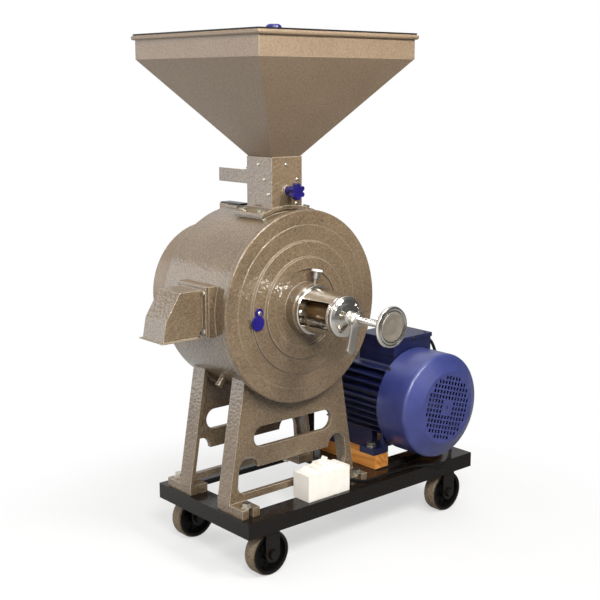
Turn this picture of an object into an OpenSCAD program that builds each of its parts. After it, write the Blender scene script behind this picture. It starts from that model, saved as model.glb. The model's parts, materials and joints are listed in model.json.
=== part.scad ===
// Vertical emery-stone flour mill, belt driven, on a wheeled base.
// Millimetres. The sub-parts are drawn about the mill axis: +X to the motor, +Y to the belt side,
// +Z up, y = 0 on the front cover's rim. place() then stands the mill on the floor.

/* [Base frame] */
// Length of the base frame
base_l = 640; // [620:5:700]
// Width of the base frame
base_w = 300; // [290:2:330]
// Width of a rail's top flange
rail_w = 50; // [46:1:54]
// Height of a rail
rail_h = 32; // [28:1:40]
// Thickness of the rail steel
rail_t = 5; // [4:0.5:6]
// Width of the bars that carry the motor
bar_w = 28; // [24:1:32]

/* [Wheels] */
// Diameter of a wheel
wheel_d = 90; // [80:1:100]
// Width of a wheel's tread
wheel_w = 28; // [24:1:30]
// Diameter of the wheel axle bolts
axle_d = 12; // [10:0.5:14]
// Distance of the wheel axles from the ends of the base
wheel_inset = 65; // [60:1:80]

/* [Stand] */
// Height of the mill axis above the base frame
axis_rise = 391; // [385:1:420]
// Width of a stand over its feet
foot_w = 330; // [320:2:344]
// Width of a stand where it meets the drum
stand_top_w = 250; // [236:2:264]
// Distance over the outer faces of the two stands
stand_span = 166; // [150:2:176]
// Thickness of a stand's plate
plate_t = 10; // [8:0.5:12]
// Depth of the flanges along the legs
flange_d = 38; // [30:1:44]
// Thickness of the foot pads
pad_t = 18; // [14:0.5:22]

/* [Drum] */
// Outer diameter of the drum casing
drum_d = 364; // [352:2:376]
// Length of the drum casing
drum_len = 200; // [194:1:210]
// Wall of the drum casing
drum_wall = 8; // [6:0.5:10]
// How far the cover's rim stands out past the drum
cover_lip = 8; // [4:0.5:12]
// Thickness of the cover's rim
cover_t = 12; // [10:0.5:15]
// Diameter of the cover's hub
hub_d = 100; // [96:1:108]
// How far the hub stands out of the cover
hub_l = 28; // [22:1:34]

/* [Stones and shaft] */
// Diameter of the grinding stones
stone_d = 254; // [230:2:262]
// Thickness of a grinding stone
stone_t = 44; // [38:1:46]
// Gap between the stones at rest
stone_gap = 0.8; // [0.7:0.1:1.5]
// Diameter of the eye of a stone
eye_d = 90; // [80:1:100]
// Diameter of the main shaft
shaft_d = 32; // [30:1:36]

/* [Belt drive] */
// Diameter of the mill's pulley
mill_pulley_d = 200; // [180:2:220]
// Diameter of the motor's pulley
motor_pulley_d = 100; // [90:2:110]
// Depth of the belt guard
guard_l = 99; // [92:1:110]
// Radius of the guard round the mill's pulley
guard_r = 138; // [130:1:145]
// Radius of the guard round the motor's pulley
guard_small_r = 80; // [74:1:90]
// Thickness of the guard's sheet
guard_t = 2; // [1.5:0.1:3]

/* [Hopper and feed] */
// Width of the square hopper over its band
hopper_w = 380; // [340:5:420]
// Height of the hopper's upright band
band_h = 37; // [30:1:50]
// Height of the sloping funnel
funnel_h = 184; // [160:2:210]
// Thickness of the hopper's sheet
sheet_t = 2; // [1.5:0.1:2.5]
// Radius of the rolled wire edge
rim_r = 4.5; // [3.5:0.1:6]
// Width of the square feed neck
neck_w = 76; // [72:1:84]
// Height of the neck's top above the drum
neck_h = 106; // [100:1:116]
// Distance of the neck's centre behind the cover's rim
neck_y = 87; // [84:1:92]
// Height of the feed flap's spindle above the drum
flap_h = 41; // [40:0.5:42]
// Length of the tray behind the neck
tray_l = 91; // [84:1:100]

/* [Outlet chute] */
// Width of the chute
chute_w = 68; // [60:1:74]
// Distance of the chute's centre behind the cover's rim
chute_y = 92; // [89:1:95]
// Height of the chute's top above the mill axis
chute_top = 50; // [44:1:54]
// Depth of the chute's mouth below the mill axis
chute_low = 38; // [34:1:44]
// How far the chute's mouth reaches from the flange
chute_l = 88; // [80:1:98]
// Thickness of the chute's sheet
chute_t = 2; // [1.5:0.1:3]

/* [Stone adjuster] */
// Length of the adjuster barrel without its flange
barrel_l = 75; // [68:1:82]
// Radius of the barrel at the flange
barrel_r0 = 45; // [43:0.5:46]
// Radius of the barrel at the cap
barrel_r1 = 39.5; // [38:0.5:42]
// Bore radius of the barrel
barrel_bore = 33; // [31:0.5:34]
// Diameter of the adjusting screw
screw_d = 13; // [12:0.5:16]
// Diameter of the handwheel
handwheel_d = 76; // [70:1:90]
// Length of screw between the lock nut and the handwheel
screw_reach = 72; // [60:1:84]
// Radius of the thrust sleeve
sleeve_r = 18.5; // [17.5:0.5:20]
// Length of the lock lever from the screw's axis
lever_l = 66; // [56:1:76]

/* [Motor] */
// Distance of the motor's axis from the right end of the base
motor_in = 135; // [130:1:140]
// Shaft height of the motor above its feet
motor_h = 112; // [110:1:118]
// Diameter of the motor frame over its fins
fin_d = 226; // [216:1:230]
// Diameter of the motor frame under its fins
frame_d = 196; // [188:1:200]
// Spacing of the cooling fins
fin_pitch = 15; // [13:0.5:17]
// Spacing across the motor's foot bolts
foot_a = 190; // [186:1:194]
// Spacing along the motor's foot bolts
foot_b = 125; // [120:1:130]
// Height of the wood blocks under the motor
block_t = 29; // [24:1:34]
// Length of the fan cover
fan_cover_l = 90; // [84:1:98]
// Hole spacing across the fan grille
grille_dx = 10; // [9.5:0.1:11]
// Row spacing of the fan grille
grille_dz = 10.6; // [10:0.1:11.5]
// Width of the terminal box
term_w = 114; // [104:1:120]
// Depth of the terminal box
term_l = 108; // [98:1:116]

/* [Switch box] */
// Length of the switch box
switch_l = 111; // [100:1:120]
// Width of the switch box
switch_w = 47; // [42:1:49]
// Height of the switch box
switch_h = 54; // [48:1:60]

/* [Hidden] */
$fn = 64;
// Fits and gaps
slip = 0.2;
rest_gap = 0.3;
run = 0.05;
seat = 0.02;
eps = 0.01;
side_in = 0.06;

// Drum and cover
drum_r = drum_d / 2;
drum_in = drum_r - drum_wall;
cover_r = drum_r + cover_lip;
drum_y0 = cover_t;
drum_y1 = drum_y0 + drum_len;
mid_drum = drum_y0 + drum_len / 2;
hub_r = hub_d / 2;
spigot_l = 6;
cover_step = 5;
rim_round = 4;
band_rise = 0.8;
spigot_w = 9;
pad_edge = 6;
plug_a = 220;
plug_y = mid_drum - 8;
plug_r = 7;
plug_l = 22;

// Heights, from the mill axis
wheel_gap = 3;
base_top = -axis_rise;
base_low = base_top - rail_h;
axle_z = base_low - wheel_gap - wheel_d / 2;
axis_h = axis_rise + rail_h + wheel_gap + wheel_d;

// Base in plan
base_x0 = -foot_w / 2 - 5;
base_x1 = base_x0 + base_l;
motor_x = base_x1 - motor_in;
base_y0 = mid_drum - base_w / 2;
base_y1 = mid_drum + base_w / 2;
wheel_y = rail_t + 8 + wheel_w / 2;
fork_t = 5;
fork_w = 34;
fork_side = 1;

// Stand
stand_y0 = mid_drum - stand_span / 2;
stand_low = base_top + pad_t;
saddle_t = 8;
leg_flange_t = 9;
foot_bolt_in = 12;
foot_bolt_y = base_y0 + rail_w - foot_bolt_in;
foot_bolt_x = foot_w / 2 - 20;
pad_w = 42;
pad_nose = 13;

// Bolts and screws
bolt_r = 5;
bolt_hole_r = bolt_r + 0.5;
bolt_head_r = 9.5;
bolt_head_h = 7;
washer_r = 11;
washer_t = 2;
nut_h = 8;
screw_r = 2.5;
screw_head_r = 4.6;
screw_head_h = 2.6;
flange_head_r = 6;

// Stones and shaft, from front to back
holder_y0 = drum_y0 + spigot_l + 0.5;
holder_t = 10;
holder_in = 6;
holder_wall = 14;
holder_hub = 16;
runner_y0 = holder_y0 + holder_t;
runner_y1 = runner_y0 + stone_t;
fixed_y0 = runner_y1 + stone_gap;
wall_y0 = fixed_y0 + stone_t;
wall_t = 10;
rear_wall_t = 12;
shaft_r = shaft_d / 2;
journal_r = shaft_r - 4;
sleeve_end = drum_y0;
rear_hub_r = 48;
rear_hub_l = 40;
bearing_r = 36;
bearing_w = 26;
bush_r = sleeve_r + 4;
guard_y0 = drum_y1 + 5;
guard_y1 = guard_y0 + guard_l;
bearing_y0 = guard_y0 - rear_hub_l / 2 - bearing_w / 2;

// Belt drive
belt_w = 13;
belt_h = 8;
belt_taper = 2;
belt_pitch = 16;
belt_gap = 0.8;
pulley_w = 2 * belt_pitch + 6;
pulley_mid = guard_y0 + guard_l / 2;
pulley_y0 = pulley_mid - pulley_w / 2;
pulley_bore = shaft_r - 1;
motor_z = base_top + block_t + motor_h;
belt_drop = 1;
belt_steps = 28;
lug_h = 2.5;
drum_lug_half = 24;
lug_half = 13;
lug_in = 4;
lug_l = 28;
strap_t = 3;
strap_half = 12;
strap_lap = 30;
stay_t = 4;
stay_half = 24;
stay_clear = 6;
stay_foot = 26;
stay_hole_r = 6;
stay_hole_x = 12;
stay_hole_h = 71;
stay_rise = 25;
belt_centres = norm([motor_x, motor_z]);
belt_tilt = atan2(motor_z, motor_x);

// Hopper and neck
neck_half = neck_w / 2;
neck_top = drum_r + neck_h;
neck_in = neck_half - sheet_t;
saddle_plate = 6;
neck_seat = 6;
saddle_r = drum_r + neck_seat + slip + saddle_plate;
saddle_half = neck_half + 29;
saddle_deep = neck_half + 6;
collar_half = neck_in - slip;
collar_l = 18;
band_z0 = neck_top + funnel_h;
band_z1 = band_z0 + band_h;
rim_z = band_z1 + rim_r - 1;
lid_z = rim_z + rim_r + rest_gap;
lid_t = 2.5;
lid_half = hopper_w / 2 + 3;
lid_knob_r = 15.5;
lid_knob_h = 18;
flap_z = drum_r + flap_h;
flap_half = neck_in - 4;
flap_t = 2;
flap_spindle_r = 4;
gate_z = drum_r + 76;
gate_t = 2;
gate_half = neck_in - 0.6;
gate_slot = 0.6;
tray_z0 = drum_r + 52;
tray_z1 = drum_r + 79;
tray_y0 = neck_y + neck_half;
gate_tail = 25;
pull_half = 14;
pull_h = 16;
star_y = neck_y - neck_half - 29;
star_lobes = 6;
star_t = 12;
star_hub_r = 9;
star_r = 11.5;
star_lobe_r = 4.8;
neck_boss = 4;
boss_face = neck_y - neck_half - neck_boss;

// Chute and its port in the drum
port_face = -drum_r - 14;
port_y0 = chute_y - chute_w / 2 - 15;
port_y1 = chute_y + chute_w / 2 + 15;
port_z0 = -chute_low - 2;
port_z1 = chute_top + 7;
port_in = 4;
chute_flange_t = 4;
chute_lip = 5;
chute_x0 = port_face - chute_flange_t;

// Adjuster, from the hub outwards
flange_r = hub_r - 1.5;
flange_screw_x = barrel_bore + 5.5;
flange_t = 10;
barrel_y0 = -hub_l - flange_t;
barrel_y1 = barrel_y0 - barrel_l;
window_z0 = -24;
window_z1 = 27;
window_end = 6;
ring_t = 2;
cap_r = barrel_r1;
cap_y0 = barrel_y1 - ring_t;
cap_rim_t = 6;
cap_dome_l = 12;
boss_r = 13.8;
boss_l = 6;
cap_spigot = 7;
boss_end = cap_y0 - cap_rim_t - cap_dome_l - boss_l;
spin_r = screw_d / 2;
nut_af = 27;
nut_t = 13;
nut_y0 = boss_end - 1 - nut_t;
collar_t = 8;
wheel_back = nut_y0 - collar_t - screw_reach;
wheel_t = 9;
thrust_face = barrel_y1 + 14;

// Motor, along its axis
foot_y0 = 50;
foot_y1 = foot_y0 + foot_b;
frame_y0 = foot_y0 - 42;
frame_y1 = foot_y1 + 22;
shield_t = 12;
fan_y1 = frame_y0;
fan_y0 = fan_y1 - fan_cover_l;
fan_r = fin_d / 2;
fan_band = 35;
fan_face_r = fan_r - fan_band;
fan_fold = 10;
fan_cone = 30;
fan_back = 19;
blade_l = 27;
blade_r = fan_r - 28;
blade_t = 3.2;
fan_hub_r = 24;
fan_disc_t = 4;
fan_wall = 2;
grille_w = 6.4;
grille_h = 7.2;
grille_turn = 17;
fan_lap = 10;
rotor_r = 55;
air_gap = 0.6;
motor_shaft_r = 14;
foot_t = 14;
foot_l = 44;
foot_in = 30;
foot_out = 14;
leg_in = 14;
leg_t = 16;
pocket_l = 24;
term_z0 = frame_d / 2 + 2;
term_h = 30;
term_lid_t = 9;
term_edge = 1;
term_y0 = foot_y0 - 28;
block_w = 40;
block_end = 26;

// Bars under the motor
bar_x0 = motor_x - foot_a / 2 - 56;
bar_x1 = bar_x0 + 38;
bar_leg = 22;

// Switch
switch_x0 = -10;
switch_clear = 10;
switch_y0 = stand_y0 - switch_w - switch_clear;
switch_z1 = base_top + switch_h;

// Whole object in plan
reach_x0 = chute_x0 - chute_l - chute_lip;
reach_y0 = wheel_back - wheel_t;
mid_x = (reach_x0 + base_x1) / 2;
mid_y = (reach_y0 + guard_y1) / 2;

// The motor cable: points chosen by hand, from the gland to the switch box
cable_d = 7;
cable_sides = 8;
cable_steps = 2;
gland_r = 9;
gland_y = term_y0 + 48;
gland_z = term_z0 + term_h / 2;
gland_end = [motor_x + term_w / 2 + 20, gland_y, motor_z + gland_z];
switch_end = [switch_x0 + switch_l, switch_y0 + 10, base_top + 17];
drop_x = motor_x + fin_d / 2 + 10;
rail_lay = base_top + cable_d / 2 + 0.7;
rail_edge = base_y0 + 15;
cable_route = [
    gland_end, gland_end + [16, -0.6, -2], gland_end + [31, -3.4, -12.5],
    [drop_x - 6.5, gland_y - 8, gland_end[2] - 34], [drop_x - 1, gland_y - 14, gland_end[2] - 66],
    [drop_x, gland_y - 22, motor_z + 5], [drop_x - 1, gland_y - 32, motor_z - 42],
    [drop_x - 5, base_y0 + 62, base_top + 54], [drop_x - 13, base_y0 + 46, base_top + 25],
    [drop_x - 24, base_y0 + 32, base_top + 11], [drop_x - 38, base_y0 + 19, base_top + 5.5],
    [drop_x - 54, base_y0 + 7, base_top + 4.6], [drop_x - 69, base_y0 - 2.5, base_top + 3.2],
    [drop_x - 84, base_y0 - 7.2, base_top - 0.6], [drop_x - 100, base_y0 - 8, base_top - 2.5],
    [drop_x - 118, base_y0 - 6, base_top + 2], [drop_x - 136, base_y0 + 1, base_top + 4.6],
    [drop_x - 156, base_y0 + 10, rail_lay], [drop_x - 180, rail_edge, rail_lay],
    [switch_end[0] + 110, rail_edge, rail_lay], [switch_end[0] + 70, rail_edge, rail_lay],
    [switch_end[0] + 54, rail_edge, rail_lay],
    switch_end + [41.5, -4.3, -10.9], switch_end + [29, -2.5, -6.4], switch_end + [16.5, -0.7, -1.9],
    switch_end + [6, 0, 0], switch_end
];

// Stands the drawing, made about the mill axis, on the floor
module place() {
    translate([-mid_x, -mid_y, axis_h]) children();
}

// A round bar along Y
module bar_y(r, y0, y1, x = 0, z = 0) {
    translate([x, y0, z]) rotate([-90, 0, 0]) cylinder(r = r, h = y1 - y0);
}

// A round bar along Z
module bar_z(r, z0, z1, x = 0, y = 0) {
    translate([x, y, z0]) cylinder(r = r, h = z1 - z0);
}

// A six-sided bar along Z
module hex_z(r, z0, z1, x, y) {
    translate([x, y, z0]) cylinder(r = r, h = z1 - z0, $fn = 6);
}

// A six-sided bar along Y
module hex_y(r, y0, y1, x = 0, z = 0) {
    translate([x, y0, z]) rotate([-90, 0, 0]) cylinder(r = r, h = y1 - y0, $fn = 6);
}

// A box from its low and high corners
module box(low, high) {
    translate(low) cube(high - low);
}

// An outline in X and Z, made a plate from y0 to y1
module plate_y(y0, y1) {
    translate([0, y1, 0]) rotate([90, 0, 0]) linear_extrude(y1 - y0) children();
}

// An outline in Y and Z, made a plate from x0 to x1
module plate_x(x0, x1) {
    translate([x0, 0, 0]) rotate([90, 0, 90]) linear_extrude(x1 - x0) children();
}

// A profile of radius and Y, turned about the Y axis
module turned(points) {
    rotate([-90, 0, 0]) rotate_extrude() polygon(points);
}

// Outline round two circles, the first at the origin, the second at a distance along X.
// The straight sides run a hair inside the tangents, so that they cut the circles cleanly
module two_circles(r0, r1, d) {
    c = (r0 - r1) / d;
    s = sqrt(1 - c * c);
    a = r0 - side_in;
    b = r1 - side_in;
    circle(r0);
    translate([d, 0]) circle(r1);
    polygon([[a * c, a * s], [a * c, -a * s], [d + b * c, -b * s], [d + b * c, b * s]]);
}

// Smooth curve through the points of a list, as many steps to each stretch
function curve_point(p, i, t) =
    let (n = len(p) - 1)
    let (a = p[max(i - 1, 0)], b = p[i], c = p[min(i + 1, n)], d = p[min(i + 2, n)])
    0.5 * (2 * b + (c - a) * t + (2 * a - 5 * b + 4 * c - d) * t * t + (3 * b - a - 3 * c + d) * t * t * t);
function curve(p, steps) = [
    for (i = [0 : len(p) - 2]) for (k = [0 : steps - 1]) curve_point(p, i, k / steps),
    p[len(p) - 1]
];
function unit(v) = v / norm(v);
function heading(c, i) = unit(c[min(i + 1, len(c) - 1)] - c[max(i - 1, 0)]);

// A round tube swept along a curve, with the ends square to X
module swept_tube(c, r, sides) {
    last = len(c) - 1;
    dirs = [for (i = [0 : last]) i == 0 ? [1, 0, 0] : i == last ? [-1, 0, 0] : heading(c, i)];
    sideways = [for (d = dirs) unit(cross(d, [0.21, 1, 0.13]))];
    points = [
        for (i = [0 : last]) for (k = [0 : sides - 1])
            c[i] + r * (
                cos(360 * k / sides) * sideways[i] + sin(360 * k / sides) * cross(dirs[i], sideways[i])
            )
    ];
    skin = [
        for (i = [0 : last - 1]) for (k = [0 : sides - 1])
            let (n = (k + 1) % sides)
            each [
                [i * sides + k, (i + 1) * sides + k, i * sides + n],
                [i * sides + n, (i + 1) * sides + k, (i + 1) * sides + n]
            ]
    ];
    first_end = [for (k = [0 : sides - 1]) k];
    last_end = [for (k = [sides - 1 : -1 : 0]) last * sides + k];
    polyhedron(points, concat(skin, [first_end, last_end]));
}

// Base frame

// A long rail of angle steel along X, with its upright leg at y
module long_rail(y, side) {
    y1 = y + side * rail_w;
    y2 = y + side * rail_t;
    difference() {
        union() {
            box([base_x0, min(y, y1), base_top - rail_t], [base_x1, max(y, y1), base_top]);
            box([base_x0, min(y, y2), base_low], [base_x1, max(y, y2), base_top - rail_t / 2]);
        }
        for (x = [-foot_bolt_x, foot_bolt_x])
            bar_z(bolt_hole_r, base_low - 1, base_top + 1, x, y + side * (rail_w - foot_bolt_in));
    }
}

// An end rail of angle steel along Y, with its upright leg at x
module end_rail(x, side) {
    x1 = x + side * rail_w;
    x2 = x + side * rail_t;
    box([min(x, x1), base_y0 + rail_w, base_top - rail_t], [max(x, x1), base_y1 - rail_w, base_top]);
    box([min(x, x2), base_y0 + rail_t, base_low], [max(x, x2), base_y1 - rail_t, base_top - rail_t]);
}

module front_rail() {
    color("#1d1b1a") place() long_rail(base_y0, 1);
}

module rear_rail() {
    color("#1d1b1a") place() long_rail(base_y1, -1);
}

module left_end_rail() {
    color("#1d1b1a") place() end_rail(base_x0, 1);
}

module right_end_rail() {
    color("#1d1b1a") place() difference() {
        end_rail(base_x1, -1);
        motor_bolt_holes();
    }
}

// One crossbar between the long rails, and two bars from it to the right end rail
module motor_subframe() {
    color("#1d1b1a") place() difference() {
        union() {
            box([bar_x0, base_y0 + rail_w, base_top - rail_t], [bar_x1, base_y1 - rail_w, base_top]);
            box(
                [bar_x0, base_y0 + rail_w, base_top - bar_leg],
                [bar_x0 + rail_t, base_y1 - rail_w, base_top - 1]
            );
            for (y = [foot_y0, foot_y1]) {
                box(
                    [bar_x1 - 1, y - bar_w / 2, base_top - rail_t],
                    [base_x1 - rail_w, y + bar_w / 2, base_top]
                );
                box(
                    [bar_x1 - 1, y - bar_w / 2, base_top - bar_leg],
                    [base_x1 - rail_w, y - bar_w / 2 + rail_t, base_top - 1]
                );
            }
        }
        motor_bolt_holes();
    }
}

// Wheels

function wheel_xs() = [base_x0 + wheel_inset, base_x1 - wheel_inset];
function wheel_ys() = [base_y0 + wheel_y, base_y1 - wheel_y];

// A fork bent from flat bar, under the top flange
module fork(x, y) {
    top = base_top - rail_t;
    out = wheel_w / 2 + fork_side;
    difference() {
        union() {
            box([x - fork_w / 2, y - out - fork_t, top - fork_t], [x + fork_w / 2, y + out + fork_t, top]);
            for (s = [-1, 1]) {
                side = y + s * (out + fork_t / 2);
                box([x - fork_w / 2, side - fork_t / 2, axle_z], [x + fork_w / 2, side + fork_t / 2, top - 1]);
                bar_y(fork_w / 2, side - fork_t / 2, side + fork_t / 2, x, axle_z);
            }
        }
        bar_y(axle_d / 2 + seat, y - out - fork_t - 1, y + out + fork_t + 1, x, axle_z);
    }
}

module wheel_brackets() {
    color("#24211f") place() for (x = wheel_xs()) for (y = wheel_ys()) fork(x, y);
}

// A hexagon bolt and its nut, through the fork and the wheel
module axle_bolts() {
    reach = wheel_w / 2 + fork_side + fork_t;
    color("#8d8a86") place() for (x = wheel_xs()) for (y = wheel_ys()) {
        bar_y(axle_d / 2, y - reach - 1, y + reach + nut_h + 2, x, axle_z);
        hex_y(axle_d * 0.85, y - reach - 6, y - reach, x, axle_z);
        hex_y(axle_d * 0.85, y + reach, y + reach + nut_h, x, axle_z);
    }
}

// A cast wheel: rim with a shallow tread, web with wedge-shaped openings, hub
module wheel(x, y) {
    r = wheel_d / 2;
    hub = axle_d / 2 + 9;
    rim = r - 9;
    web = 3.5;
    half = wheel_w / 2;
    hub_half = half + fork_side - rest_gap;
    color("#3c3833") place() translate([x, y, axle_z]) difference() {
        turned([
            [axle_d / 2 + run, -hub_half], [hub, -hub_half], [hub + 1, -web], [rim, -web],
            [rim, -half], [r - 1.5, -half], [r, -half + 4], [r, half - 4], [r - 1.5, half],
            [rim, half], [rim, web], [hub + 1, web], [hub, hub_half], [axle_d / 2 + run, hub_half]
        ]);
        for (a = [45 : 90 : 315]) rotate([0, a, 0])
            plate_y(-web - 1, web + 1) intersection() {
                difference() {
                    circle(rim - 3);
                    circle(hub + 4);
                }
                polygon([[0, 0], [r, -r * 0.55], [r, r * 0.55]]);
            }
    }
}

module wheel_front_left() {
    wheel(wheel_xs()[0], wheel_ys()[0]);
}

module wheel_front_right() {
    wheel(wheel_xs()[1], wheel_ys()[0]);
}

module wheel_rear_left() {
    wheel(wheel_xs()[0], wheel_ys()[1]);
}

module wheel_rear_right() {
    wheel(wheel_xs()[1], wheel_ys()[1]);
}

// Stands

// Half-width of a stand at a height
function stand_half(z) =
    let (top = -drum_r * 0.75)
    stand_top_w / 2 + (foot_w - stand_top_w) / 2 * (top - z) / (top - stand_low);

module stand_outline(inset = 0) {
    polygon([
        [-stand_half(stand_low) + inset, stand_low], [stand_half(stand_low) - inset, stand_low],
        [stand_half(0) - inset, 0], [-stand_half(0) + inset, 0]
    ]);
}

// A slot with round ends
module slot_outline(half_l, z, r) {
    translate([-half_l, z - r]) square([2 * half_l, 2 * r]);
    for (s = [-1, 1]) translate([s * half_l, z]) circle(r);
}

// The lower opening: a wide slot with a round ear at each end, and a cross bar below
module lower_opening() {
    ear_r = 24;
    ear_x = stand_half(stand_low + 62) - 14 - ear_r;
    ear_z = stand_low + 62;
    low = stand_low + 14;
    foot_x = stand_half(low) - 20;
    polygon([
        [-foot_x + 16, low], [foot_x - 16, low], [foot_x, low + 18], [ear_x + ear_r, ear_z],
        [-ear_x - ear_r, ear_z], [-foot_x, low + 18]
    ]);
    for (s = [-1, 1]) {
        translate([s * ear_x, ear_z]) circle(ear_r);
        translate([s * (foot_x - 17), low + 17]) circle(17);
    }
}

// A cast stand, drawn as the front one: plate, leg flanges, curved saddle, foot pads
module stand() {
    slot_r = 21;
    slot_z = stand_low + 122;
    slot_half = stand_half(slot_z) - 42 - slot_r;
    difference() {
        union() {
            plate_y(stand_y0, stand_y0 + plate_t) difference() {
                stand_outline();
                slot_outline(slot_half, slot_z, slot_r);
                lower_opening();
            }
            plate_y(stand_y0, stand_y0 + flange_d) difference() {
                stand_outline();
                stand_outline(leg_flange_t);
            }
            intersection() {
                bar_y(drum_r + saddle_t, stand_y0, stand_y0 + flange_d);
                plate_y(stand_y0, stand_y0 + flange_d) stand_outline();
            }
            for (s = [-1, 1]) {
                x0 = s * foot_w / 2;
                x1 = s * (foot_w / 2 - pad_w);
                box(
                    [min(x0, x1), foot_bolt_y - pad_nose, base_top],
                    [max(x0, x1), stand_y0 + flange_d, stand_low + eps]
                );
            }
        }
        bar_y(drum_r + slip / 2, stand_y0 - 1, stand_y0 + flange_d + 1);
        for (x = [-foot_bolt_x, foot_bolt_x]) {
            bar_z(bolt_hole_r, base_top - 1, stand_low + 1, x, foot_bolt_y);
            box(
                [x - bolt_hole_r, foot_bolt_y - pad_nose - 1, base_top - 1],
                [x + bolt_hole_r, foot_bolt_y, stand_low + 1]
            );
        }
    }
}

module front_stand() {
    color("#8c7d68") place() stand();
}

module rear_stand() {
    color("#8c7d68") place() translate([0, 2 * mid_drum, 0]) mirror([0, 1, 0]) stand();
}

// Fasteners that share one node: stand feet, motor feet, neck saddle

module motor_bolt_places() {
    for (s = [-1, 1]) for (y = [foot_y0, foot_y1]) translate([motor_x + s * foot_a / 2, y, 0]) children();
}

module motor_bolt_holes() {
    motor_bolt_places() bar_z(bolt_hole_r, base_low - 1, base_top + block_t + foot_t + 1);
}

// A bolt from its head's seat down, with washer and nut
module hex_bolt(z_seat, z_nut) {
    bar_z(washer_r, z_seat, z_seat + washer_t);
    hex_z(bolt_head_r, z_seat + washer_t, z_seat + washer_t + bolt_head_h, 0, 0);
    bar_z(bolt_r, z_nut - nut_h - 3, z_seat + washer_t + 1);
    hex_z(bolt_head_r, z_nut - nut_h, z_nut, 0, 0);
}

saddle_bolt_a = 17.3;

// The four bolts of the neck's saddle point at the drum's axis
module saddle_bolt_places() {
    for (s = [-1, 1]) for (y = [-1, 1])
        translate([0, neck_y + y * (saddle_deep - 16), 0]) rotate([0, s * saddle_bolt_a, 0]) children();
}

module hex_bolts() {
    color("#c3bda9") place() {
        for (x = [-foot_bolt_x, foot_bolt_x]) for (y = [foot_bolt_y, 2 * mid_drum - foot_bolt_y])
            translate([x, y, 0]) hex_bolt(stand_low + eps, base_top - rail_t);
        motor_bolt_places() hex_bolt(base_top + block_t + foot_t, base_top - rail_t);
        saddle_bolt_places() {
            bar_z(4, drum_in - 4, saddle_r + 1);
            hex_z(7, saddle_r, saddle_r + 5, 0, 0);
        }
    }
}

// Drum and stones

// Sloping duct that leads the grain from the neck to the back of the fixed stone
module feed_duct() {
    front = neck_y - neck_in + 2;
    half = neck_in + 4;
    low = stone_d / 2 + 6;
    high = drum_in + 1;
    plate_x(-half, half) polygon([
        [front, high], [wall_y0 + 1, low], [wall_y0 + 1, low + 4], [front + 4, high]
    ]);
    for (x = [-half, half - 4]) plate_x(x, x + 4) polygon([
        [front, high], [wall_y0 + 1, low], [wall_y0 + 1, high]
    ]);
}

// Raised seat on the drum for the neck's saddle
module neck_pad() {
    deep = saddle_deep - pad_edge;
    half = saddle_half - pad_edge;
    intersection() {
        bar_y(drum_r + neck_seat, neck_y - deep, neck_y + deep);
        box([-half, neck_y - deep, drum_r / 2], [half, neck_y + deep, drum_r + neck_seat + 1]);
    }
}

// Casing with a rear wall, a wall behind the fixed stone, the chute's port and a drain plug below
module drum_casing() {
    feed_half = neck_in - 3;
    color("#8f8370") place() difference() {
        union() {
            difference() {
                union() {
                    bar_y(drum_r, drum_y0, drum_y1);
                    box([port_face, port_y0, port_z0], [-drum_r * 0.85, port_y1, port_z1]);
                    box(
                        [-drum_lug_half, drum_y1 - strap_lap - 4, drum_r - 6],
                        [drum_lug_half, drum_y1, drum_r + lug_h]
                    );
                    neck_pad();
                    translate([0, plug_y, 0]) rotate([0, plug_a, 0])
                        bar_z(plug_r, drum_r - 3, drum_r + plug_l);
                }
                bar_y(drum_in, drum_y0 - 1, drum_y1 - rear_wall_t);
                box(
                    [port_face - 1, chute_y - chute_w / 2 + port_in, port_z0 + 6],
                    [-drum_r * 0.8, chute_y + chute_w / 2 - port_in, port_z1 - 9]
                );
            }
            intersection() {
                bar_y(drum_in + 1, drum_y0, drum_y1);
                union() {
                    bar_y(drum_r, wall_y0, wall_y0 + wall_t);
                    feed_duct();
                }
            }
            bar_y(rear_hub_r, guard_y0 - rear_hub_l, guard_y0);
        }
        box([-feed_half, neck_y - feed_half, drum_in - 16], [feed_half, wall_y0 + 2, drum_r + 20]);
        box([-feed_half, neck_y, stone_d / 2 + 11], [feed_half, wall_y0 + wall_t + 1, drum_in - 4]);
        bar_y(eye_d / 2, wall_y0 - 1, wall_y0 + wall_t + 1);
        bar_y(bearing_r + seat, guard_y0 - rear_hub_l - 1, bearing_y0 + bearing_w);
        bar_y(shaft_r + 3, bearing_y0, guard_y0 + 1);
        saddle_bolt_places() bar_z(4 + seat, drum_in - 8, drum_r + neck_seat + 2);
    }
}

// The cover: stepped rings, a hub with the bush's bore, a spigot into the drum
module front_cover() {
    ring_1 = cover_r * 0.69;
    ring_2 = cover_r * 0.53;
    ring_3 = cover_r * 0.4;
    band = cover_r * 0.85;
    step = cover_step;
    color("#8c7d68") place() difference() {
        turned([
            [bush_r, -hub_l], [hub_r - 2, -hub_l], [hub_r, -hub_l + 2], [hub_r + 1, -step],
            [ring_3 - 1, -step], [ring_3 + 1, -2 * step], [ring_2 - 2, -2 * step], [ring_2, -step],
            [ring_1 - 2, -step], [ring_1, -band_rise],
            [band - 1, -band_rise], [band, 0],
            for (a = [90 : -22.5 : 0])
                [cover_r - rim_round + rim_round * cos(a), rim_round - rim_round * sin(a)],
            [cover_r, cover_t],
            [drum_in - slip, cover_t], [drum_in - slip, cover_t + spigot_l],
            [drum_in - spigot_w, cover_t + spigot_l], [drum_in - spigot_w, cover_t], [bush_r, cover_t]
        ]);
        for (s = [-1, 1]) bar_y(screw_r + seat, -hub_l - 1, -hub_l + 12, s * flange_screw_x, 0);
        bar_y(screw_r + seat, -step - 1, -step + 9, tag_x, tag_z);
        grease_place() bar_z(grease_stem_r + seat, hub_r - 14, hub_r + 5);
    }
}

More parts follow.
